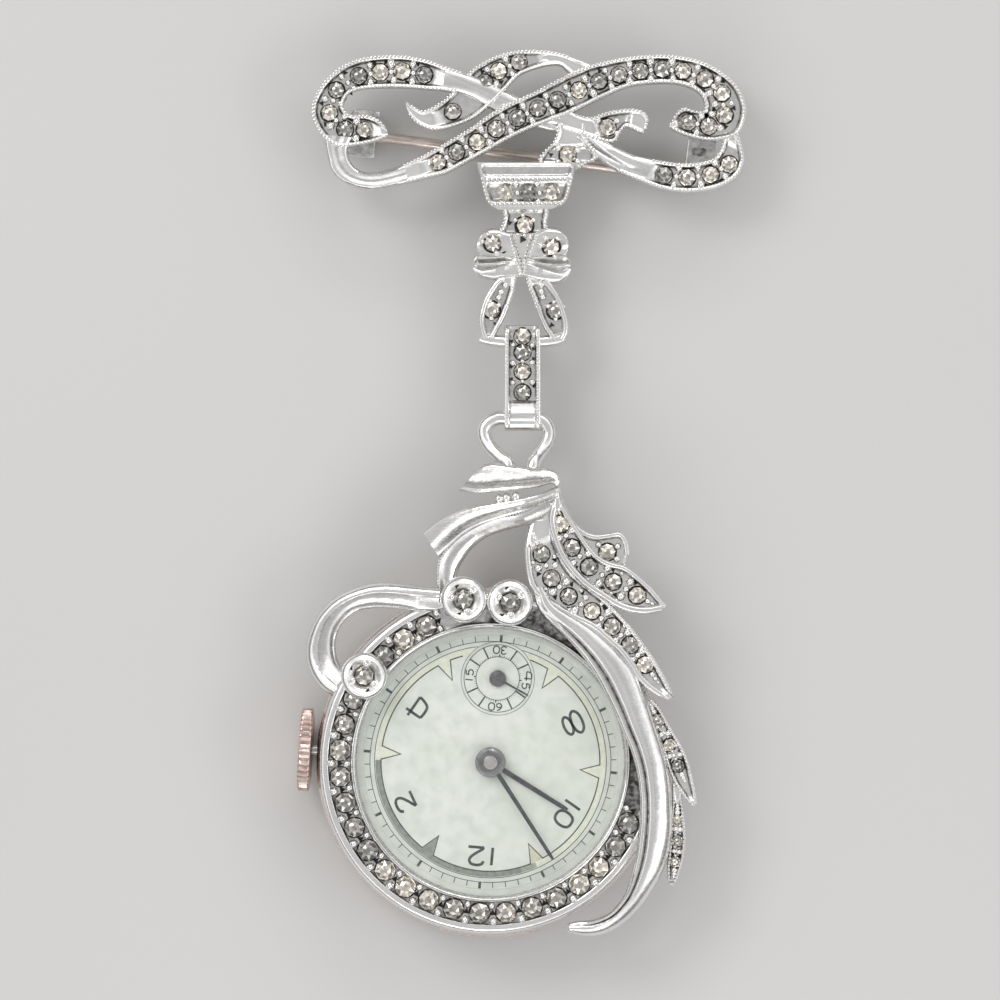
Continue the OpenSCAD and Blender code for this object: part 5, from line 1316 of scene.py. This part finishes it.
def make_leaf(piece, rows, top, thick, start, end, stones, d, rim, grains, depth=0.34):
    """A set leaf: its channel, stones, prongs, beads that thin out at both ends, and grains on its rims."""
    at = sides(rows, field_at, top)
    last = len(rows) - 1
    strip(piece, at, stations(rows, LEAF_STEPS), set_face(rim, depth, start, end, 0.12), low=top - thick)
    floor = top - depth - seat_drop
    places = [near_middle(at, last, put(field_at, x, y, floor)) for x, y in stones]
    prong_r = 0.36 if d > 1.2 else 0.25
    set_row(piece, places, d, r=prong_r, apart=2.6,
            within=lambda point: kept_inside(at, last, point, 0.2 + prong_r))
    if len(places) > 1:
        for tip, before, lift in ((places[-1], places[-2], 0.16), (places[0], places[1], 0.28)):
            along = (tip - before).normalized()
            for step, size in ((0.68, 0.27), (0.98, 0.22), (1.24, 0.16)):
                bead(piece, tip + along * step * d + up(lift), size)
        for a, b in zip(places, places[1:]):
            out = Vector((a.y - b.y, b.x - a.x, 0)).normalized()
            for side in (-1, 1):
                spot = a.lerp(b, chance.uniform(0.1, 0.3)) + out * side * chance.uniform(0.6, 0.66) * d
                bead(piece, kept_inside(at, last, spot, 0.4) + up(0.16), chance.uniform(0.17, 0.24))
    for side, u0, u1 in grains:
        milgrain(piece, at, u0, u1, side, r=0.14, pitch=0.3)
    return at


def make_leaves(piece):
    """The five leaves of the scrollwork, from the lowest to the one on top."""
    side_top = 0.99 * bezel_top
    make_leaf(piece, LEAF_LOW, 0.94 * bezel_top, 1.6, 0.6, 6.8, LOW_STONES, 1.0, 0.24,
              [(0, 0.3, 6.8), (1, 0.3, 6.8)], 0.26)
    make_leaf(piece, LEAF_SIDE, side_top + 0.1, 1.7, 0.6, 7.4, SIDE_STONES, 1.1, 0.28,
              [(0, 0.3, 7.6), (1, 1, 7.6)], 0.28)
    short = make_leaf(piece, LEAF_SHORT, side_top, 1.7, 1.8, 7, SHORT_STONES, leaf_stone, 0.4, [])
    edge_wire(piece, short, 1.4, 7, 0, 0.22)
    long = make_leaf(piece, LEAF_LONG, 1.1 * bezel_top, 1.7, 1, 12.6, LONG_LEAF_STONES, leaf_stone, 0.4,
                     [(0, 4, 12.5)])
    edge_wire(piece, long, 1.2, 12.4, 1, 0.27)
    over = make_leaf(piece, LEAF_TOP, 1.14 * bezel_top, 1.7, 1.2, 10.4, TOP_STONES, leaf_stone + 0.02,
                     0.42, [])
    edge_wire(piece, over, 1.2, 10.6, 1, 0.32)
    edge_wire(piece, over, 1.2, 10.6, 0, 0.22)


def make_ribbons(piece):
    """Ribbon ends, curl and the long sweep with its ball, and the wire loop that the link holds."""
    for rows, face, thick in ((UNDER_END, ribbon_face(UNDER_FACE), 1.1), (CURL, curl_face, 1.1),
                              (LOWER_END, ribbon_face(LOWER_FACE), 1.1),
                              (UPPER_END, ribbon_face(UPPER_FACE), 1.1), (SWEEP, sweep_face, 1.3)):
        strip(piece, sides(rows, field_at, 0), stations(rows, LEAF_STEPS), face, thick=thick)
    milgrain(piece, sides(UNDER_END, field_at, 0), 0.5, len(UNDER_END) - 1.5, 0, inset=0.14, lift=0.04,
             r=0.11, pitch=0.24)
    left, right = sides(SWEEP, field_at, 0)(len(SWEEP) - 1)
    tip_r = 0.5 * (left - right).length
    tip = Matrix.Translation((left + right) / 2 + up(-0.5))
    copy_to(piece, ball, tip @ Matrix.Diagonal((tip_r, tip_r, 0.58, 1)))
    ribbon_z = 0.9 * bezel_top - 0.55
    rows = [row_at(LOOP_WIRE, u) for u in stations(LOOP_WIRE, 4)]
    wire(piece, [put(field_at, x, y, hang_z + (ribbon_z - hang_z) * t) for x, y, t in rows], 0.575)


def make_bezel():
    """Stone-set ring with the scrollwork that is soldered to it."""
    piece = new_shape()
    make_bezel_ring(piece)
    make_leaves(piece)
    make_ribbons(piece)
    for x, y in ROSETTES:
        make_rosette(piece, x, y)
    for x, y, z in BEADS:
        bead(piece, put(field_at, x, y, z * bezel_top / 100), 0.375, ball)
    finished(piece, "bezel_and_scrollwork", METAL, ["bezel", "bezel_stones", "scroll_stones"])


# Case, crown and glass
def make_case():
    """Turned case: nearly flat back, a groove where it opens, a straight side, and the opening lip."""
    piece = new_shape()
    r, h = case_r, case_h
    bore, well = 10.75, 0.9
    # Opening groove and well darkened: partly oxide, partly painted shade
    wall = [(share * r, rise * h, dark) for share, rise, dark in (
        (0, 0, 0), (0.5, 0, 0), (0.816, 0, 0.05), (0.85, 0.02, 0), (0.93, 0.08, 0), (0.962, 0.15, 0),
        (0.979, 0.21, 0), (0.992, 0.3, 0), (0.994, 0.4, 0.3), (0.984, 0.42, 0.9), (0.984, 0.44, 0.9),
        (0.996, 0.455, 0.3), (1, 0.5, 0), (1, 0.885, 0), (0.994, 0.94, 0), (0.982, 0.975, 0.1),
        (0.958, 1, 0.5))]
    wall += [(bore, h, 0.5), (bore, well, 0.4), (0, well, 0.4)]
    turned(piece, wall, Matrix.Translation(centre), steps=160, loop=False)
    lip = [(r + out, 0.44 * h + rise, 0) for out, rise in (
        (-0.5, 0), (0.22, 0), (0.33, 0.08), (0.35, 0.22), (0.3, 0.42), (0.2, 0.5), (-0.5, 0.5))]
    turned(piece, lip, Matrix.Translation(centre), steps=24, angle=34, start=-107)
    finished(piece, "case_shell", [case_silver], ["case"])


def make_crown():
    """Ribbed crown with a shallow domed end and a bore for the stem."""
    piece = new_shape()
    r = (crown_high.z - crown_low.z) / 2
    ribs, around = 40, 160
    bore_r, near, far = 0.45, 14.5, 15.65

    def ring(radius, z, rib=0.0, dark=0.0):
        made = []
        for k in range(around):
            a = math.tau * k / around
            wave = (0.5 + 0.5 * math.cos(ribs * a)) if rib else 1
            out = radius - rib * (1 - wave)
            # Painted shade in the valleys between the ribs
            made.append((Vector((out * math.cos(a), out * math.sin(a), z)), max(dark, 0.85 * (1 - wave))))
        return made

    # Painted shade down the bore and in the step round it
    bm = drawn([ring(bore_r, near + 0.8, dark=0.6), ring(bore_r, near, dark=0.6), ring(2.7, near, dark=0.2),
                ring(3.06, near + 0.04), ring(r - 0.14, near + 0.12, 0.05), ring(r - 0.02, near + 0.2, 0.17),
                ring(r, near + 0.28, 0.18), ring(r, far - 0.28, 0.18), ring(r - 0.03, far - 0.2, 0.17),
                ring(r - 0.14, far - 0.12, 0.05), ring(3.06, far - 0.05), ring(2.7, far - 0.01),
                ring(2.5, far - 0.05, dark=0.2), ring(1.2, far - 0.02), ring(0.3, far)])
    place = Matrix.Translation(centre + up(crown_low.z + r)) @ Matrix.Rotation(math.radians(176.5), 4, "Z") \
        @ Matrix.Rotation(math.radians(90), 4, "Y")
    bmesh.ops.transform(bm, matrix=place, verts=bm.verts[:])
    bmesh.ops.recalc_face_normals(bm, faces=bm.faces[:])
    keep(piece, bm)
    finished(piece, "ribbed_crown", [rose_finish()], ["crown"], body="crown", smooth=50)


def make_glass():
    """Low dome on an upright edge, one even wall thick."""
    piece = new_shape()
    edge_z, top, r = glass_low.z, glass_high.z, glass_r
    inner_r, inner_top = glass_r - glass_wall, glass_high.z - glass_wall
    rise = 1.3
    dome_r = ((r + 0.04) ** 2 + rise ** 2) / (2 * rise)
    outer = [(r, edge_z, 0)]
    inner = []
    steps = 14
    for k in range(steps):
        x = r * math.cos(math.pi / 2 * k / steps)
        outer.append((x, top - dome_r + math.sqrt(dome_r ** 2 - x ** 2), 0))
    for k in range(1, steps + 1):
        x = inner_r * math.sin(math.pi / 2 * k / steps)
        inner.append((x, inner_top - dome_r + math.sqrt(dome_r ** 2 - x ** 2), 0))
    profile = outer + [(0, top, 0), (0, inner_top, 0)] + inner + [(inner_r, edge_z, 0)]
    turned(piece, profile, Matrix.Translation(centre), steps=128)
    for e in [e for e in piece.edges if not e.link_faces]:
        piece.edges.remove(e)
    finished(piece, "domed_glass", [glass_finish()], ["crystal"], smooth=50)


# Dial, its print and the hands
def line(piece, points, width, z, finish=0, closed=False, thick=0.012):
    """A printed line of even width over the dial."""
    count = len(points)
    low, high = up(z - 0.01), up(z + thick)
    rings = []
    for i in range(count + (1 if closed else 0)):
        here = points[i % count]
        before = points[(i - 1) % count] if closed or i else here
        after = points[(i + 1) % count] if closed or i < count - 1 else here
        a, b = (here - before).xy, (after - here).xy
        a = a.normalized() if a.length > 1e-6 else b.normalized()
        b = b.normalized() if b.length > 1e-6 else a
        t = (a + b).normalized() if (a + b).length > 1e-6 else a
        side = Vector((-t.y, t.x, 0)) * width / 2 / max(t.dot(a), 0.5)
        left, right = here + side, here - side
        left.z = right.z = 0
        rings.append([(left + low, 0), (left + high, 0), (right + high, 0), (right + low, 0)])
    keep(piece, drawn(rings, finish, closed))


def arc(r, start, end, step=3.0, about=centre):
    """Points from start to end degrees at radius r."""
    count = max(2, round(abs(end - start) / step))
    return [polar(r, start + (end - start) * k / count, about=about) for k in range(count + 1)]


def circle(r, step=6, about=small_dial):
    """Points once round."""
    return arc(r, 0, 360, step, about)[:-1]


def smooth_line(points):
    """A curve through the points."""
    if len(points) < 3:
        return points
    rows = [[p.x, p.y, p.z] for p in points]
    return [Vector(row_at(rows, u)) for u in stations(rows, 4)]


def digits(piece, text, spots, turn, height, stroke, z):
    """Digits drawn as strokes, their tops towards turn degrees."""
    a = math.radians(turn)
    rise = Vector((math.cos(a), math.sin(a), 0))
    along = Vector((math.sin(a), -math.cos(a), 0))
    for character, spot in zip(text, spots):
        for path in DIGITS[character]:
            points = [spot + (along * x + rise * y) * height / 100 for x, y in path]
            line(piece, smooth_line(points), stroke, z)


def hour_turn(hour):
    """Degrees of an hour on the dial."""
    return dial_turn - 30 * hour


def print_hours(piece):
    """Pointed contour of the hour marks, minute track and numerals."""
    z = dial_top
    line_r, tip_r = 8.83, 7.26
    contour = arc(line_r, 68.8, 58.5)
    for hour in (7, 9, 11, 13, 15, 17):
        a = hour_turn(hour) + 360
        contour += [polar(line_r, a + 3.5), polar(tip_r, a), polar(line_r, a - 3.5)]
        contour += arc(line_r, a - 3.5, a - (56.5 if hour < 17 else 13.8))[1:-1]
    line(piece, contour, 0.1, z)
    line(piece, arc(9.35, 96, 434, 2.5), 0.055, z)
    line(piece, circle(9.72, 2.5, centre), 0.055, z, closed=True)
    for minute in range(60):
        a = dial_turn - 6 * minute
        end_r, wide = (10.24, 0.22) if minute % 5 == 0 else (10.16, 0.07)
        line(piece, [polar(9.74, a), polar(end_r, a)], wide, z)
    for text, spots, turn, height in NUMERALS:
        digits(piece, text, [centre + Vector((x, y, 0)) for x, y in spots], turn, height, 0.225, z)


def print_seconds(piece):
    """Small seconds dial: a grey ring of painted shade at the edge of its field, two circles, marks and
    numerals.
    """
    z = small_dial_z
    mark_r = 1.77

    def mark(turn, end_r, wide):
        """A short mark outwards from the inner circle."""
        line(piece, [polar(mark_r, turn, about=small_dial), polar(end_r, turn, about=small_dial)], wide, z)

    # A grey ring of painted shade at the step round the sunk field
    line(piece, circle(2.96), 0.06, dial_top, closed=True, finish=1)
    for r, wide in ((2.72, 0.06), (1.75, 0.055)):
        line(piece, circle(r), wide, z, closed=True)
    for k in range(12):
        end_r, wide = (2.7, 0.13) if k % 3 else (1.95, 0.11)
        mark(dial_turn - 30 * k, end_r, wide)
    for k in range(60):
        if k % 5:
            mark(dial_turn - 6 * k, 1.92, 0.03)
    for text, place, turn in (("60", -95, -95), ("30", 85, -95), ("15", 175, 175), ("45", -5, -5)):
        a = math.radians(turn)
        along = Vector((math.sin(a), -math.cos(a), 0)) * 0.3
        spot = polar(2.3, place, about=small_dial)
        shift = along * 0.35 if text == "45" else Vector()
        digits(piece, text, [spot - along + shift, spot + along + shift], turn, 0.6, 0.105, z)


def make_print():
    """Minute track, pointed hour marks, numerals and the small seconds dial."""
    piece = new_shape()
    print_hours(piece)
    print_seconds(piece)
    ink = ink_finish("dial_ink", (0.035, 0.04, 0.038), (0.11, 0.12, 0.11))
    step_shade = ink_finish("painted_step_shade", (0.24, 0.25, 0.23), (0.38, 0.39, 0.36))
    finished(piece, "dial_print", [ink, step_shade], [])


def make_tints():
    """Filled track and hour marks: dark from eleven round to three, cream and beige elsewhere."""
    piece = new_shape()
    green, worn, cream, beige = range(4)
    z = dial_top - 0.002
    dark_start, dark_end, worn_end = hour_turn(3) + 4, hour_turn(-0.7), hour_turn(-1) - 1
    for start, end, finish in ((dark_start, dark_end, green), (dark_end, worn_end, worn),
                               (worn_end, 71, cream), (99, dark_start + 360, cream)):
        line(piece, arc(9.07, start, end), 0.43, z, finish, thick=0.006)
    for hour, finish in ((1, green), (11, beige), (3, cream), (5, cream), (7, cream), (9, cream)):
        a = hour_turn(hour)
        corners_of_mark = (polar(7.36, a), polar(8.86, a - 3.1), polar(8.86, a + 3.1))
        slab(piece, [(p.x, p.y) for p in corners_of_mark], z - 0.005, z + 0.006, finish=finish, soft=0)
    tints = [ink_finish("track_green", (0.22, 0.235, 0.205), (0.34, 0.355, 0.31)),
             ink_finish("track_worn", (0.3, 0.32, 0.26), (0.48, 0.49, 0.4)),
             ink_finish("track_cream", (0.72, 0.71, 0.58), (0.82, 0.81, 0.7)),
             ink_finish("mark_beige", (0.6, 0.55, 0.42), (0.74, 0.68, 0.54))]
    finished(piece, "dial_tints", tints, [])


def hand_shape(piece, about, thick, turn, start, end, root, tip):
    """A slender hand from start to end, with a rounded back and a blunt end."""
    place = Matrix.Translation(about) @ Matrix.Rotation(math.radians(turn), 4, "Z")
    section = [(-0.5, 0.15), (-0.42, 0.75), (-0.2, 1), (0.2, 1), (0.42, 0.75), (0.5, 0.15), (0.4, 0),
               (-0.4, 0)]
    rings = []
    for k in range(13):
        t = k / 12
        x = start + (end - start) * t
        width = (root + (tip - root) * t) * (0.8 if k == 12 else 1)
        rings.append([(place @ Vector((x, width * y, thick * z)), 0) for y, z in section])
    keep(piece, drawn(rings))


def make_hour_pointer(blued):
    """Short hand on a flat ring."""
    piece = new_shape()
    about = centre + up(hour_z)
    thick = 0.12
    hand_shape(piece, about, thick, -31.85, 0.5, 7.3, 0.44, 0.36)
    washer = bright_section([(0.35, 0), (0.87, 0), (0.87, 0.6 * thick), (0.81, thick), (0.35, thick)])
    turned(piece, washer, Matrix.Translation(about), steps=48)
    finished(piece, "hour_pointer", [blued], ["hour_hand"], body="hour")


def make_minute_pointer(blued, hub):
    """Long hand with the domed hub and its bright disc."""
    piece = new_shape()
    about = centre + up(minute_z)
    disc = steel_finish("hub_disc", (0.66, 0.62, 0.61), (0.86, 0.81, 0.80), 0.12, 0.24)
    hand_shape(piece, about, 0.12, -57.2, 0.5, 9.3, 0.38, 0.28)
    dome = bright_section([(0.35, 0), (1.05, 0.018), (1.19, 0.05), (1.24, 0.12), (1.22, 0.24), (1.12, 0.37),
                           (0.95, 0.47), (0.72, 0.54), (0.6, 0.555), (0.56, 0.53), (0.35, 0.53), (0.35, 0.1)])
    turned(piece, dome, Matrix.Translation(about), steps=64, finish=1)
    button = bright_section([(0, 0.5), (0.54, 0.5), (0.54, 0.565), (0.46, 0.59), (0.2, 0.6), (0, 0.6)])
    turned(piece, button, Matrix.Translation(about), steps=40, finish=2, loop=False)
    finished(piece, "minute_pointer", [blued, hub, disc], ["minute_hand"], body="minute",
             smooth=50)


def make_seconds_pointer(blued, hub):
    """Small hand with its round hub."""
    piece = new_shape()
    about = small_dial + up(seconds_z)
    hand_shape(piece, about, 0.1, -29, 0.4, 2.8, 0.2, 0.12)
    button = bright_section([(0, 0), (0.68, 0), (0.68, 0.09), (0.62, 0.13), (0.3, 0.16), (0, 0.165)])
    turned(piece, button, Matrix.Translation(about), steps=40, loop=False, finish=1)
    finished(piece, "seconds_pointer", [blued, hub], ["seconds_hand"], body="seconds")


def make_hands():
    """The three hands, in the same blued steel."""
    blued = steel_finish("hand_steel", (0.085, 0.088, 0.095), (0.17, 0.17, 0.18), 0.24, 0.4)
    hub = steel_finish("hub_steel", (0.2, 0.195, 0.2), (0.4, 0.385, 0.39), 0.04, 0.12)
    make_hour_pointer(blued)
    make_minute_pointer(blued, hub)
    make_seconds_pointer(blued, hub)


def dress(node, material):
    """Gives a CAD node that keeps its own mesh its finish."""
    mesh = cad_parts[node].data
    mesh.materials.clear()
    mesh.materials.append(material)


make_brooch()
make_link()
make_bezel()
make_case()
make_crown()
make_glass()
make_print()
make_tints()
make_hands()
dress("dial", dial_finish())
dress("pin_stem", pin_finish())
dress("catch_lever", silver)
dress("movement", steel_finish("works", (0.72, 0.6, 0.36), (0.55, 0.45, 0.27), 0.25, 0.42))
dress("winding_stem", steel_finish("stem_steel", (0.56, 0.56, 0.57), (0.42, 0.42, 0.43), 0.2, 0.38))


# Floor, light and camera
def lay_floor():
    """Wide level floor that the piece lies on."""
    ground = bmesh.new()
    bmesh.ops.create_grid(ground, x_segments=8, y_segments=8, size=1.6)
    mesh = kept_mesh(ground, "floor")
    mesh.materials.append(floor_finish())
    floor = bpy.data.objects.new("floor", mesh)
    place_in_scene(floor)


def lamp(name, place, aim, size, power, tint=(1, 1, 1)):
    """A wide soft lamp, its place and size in millimetres."""
    light = bpy.data.lights.new(name, "AREA")
    light.shape = "RECTANGLE"
    light.size, light.size_y = size[0] * MM, size[1] * MM
    light.energy = power
    light.color = tint
    holder = bpy.data.objects.new(name, light)
    place, aim = Vector(place) * MM, Vector(aim) * MM
    aimed = (aim - place).to_track_quat("-Z", "Y").to_matrix().to_4x4()
    holder.matrix_world = Matrix.Translation(place) @ aimed
    place_in_scene(holder)


def light_room():
    """Room light with a bright belt between a dark ceiling and a dark horizon, and soft clouds in it."""
    world = bpy.data.worlds.new("studio")
    bpy.context.scene.world = world
    world.use_nodes = True
    air = world.node_tree
    sky = air.nodes["Background"]
    direction = air.nodes.new("ShaderNodeTexCoord")
    parts = air.nodes.new("ShaderNodeSeparateXYZ")
    cloud = air.nodes.new("ShaderNodeTexNoise")
    cloud.inputs["Scale"].default_value = 3.4
    cloud.inputs["Detail"].default_value = 1.5
    height = air.nodes.new("ShaderNodeMath")
    height.operation = "MULTIPLY_ADD"
    height.inputs[1].default_value = 0.44
    scaled = air.nodes.new("ShaderNodeMath")
    scaled.operation = "MULTIPLY"
    scaled.inputs[1].default_value = 0.74
    shade = air.nodes.new("ShaderNodeValToRGB")
    tones = shade.color_ramp.elements
    for place, tone in ((0.3, 0.12), (0.46, 0.3), (0.56, 0.95), (0.7, 1.05), (0.82, 0.56), (0.93, 0.4)):
        tones.new(place).color = (tone, tone, 1.02 * tone, 1)
    tones[0].color = (0.16, 0.16, 0.16, 1)
    tones[-1].color = (0.56, 0.56, 0.56, 1)
    for source, target in ((direction.outputs["Generated"], parts.inputs["Vector"]),
                           (direction.outputs["Generated"], cloud.inputs["Vector"]),
                           (cloud.outputs["Fac"], height.inputs[0]),
                           (parts.outputs["Z"], scaled.inputs[0]),
                           (scaled.outputs["Value"], height.inputs[2]),
                           (height.outputs["Value"], shade.inputs["Fac"]),
                           (shade.outputs["Color"], sky.inputs["Color"])):
        air.links.new(source, target)
    sky.inputs["Strength"].default_value = 1.12


def set_camera():
    """A long lens straight above, its place in millimetres."""
    lens = bpy.data.cameras.new("camera")
    lens.sensor_width = 36
    lens.lens = 223.2
    lens.clip_start, lens.clip_end = 0.02, 20
    eye = bpy.data.objects.new("camera", lens)
    eye.location = (-1.665 * MM, -0.406 * MM, 508 * MM)
    place_in_scene(eye)
    bpy.context.scene.camera = eye


lay_floor()
lamp("key", (-260, 240, 380), (0, 0, 0), (220, 180), 0.54, (1, 0.985, 0.96))
lamp("fill", (330, -120, 300), (0, 0, 0), (240, 160), 0.22, (0.95, 0.975, 1))
lamp("back", (60, 400, 220), (0, 10, 0), (300, 90), 0.22)
lamp("front", (-80, -380, 260), (0, 0, 0), (260, 90), 0.16)
light_room()
bpy.context.scene.view_settings.view_transform = "Standard"
set_camera()
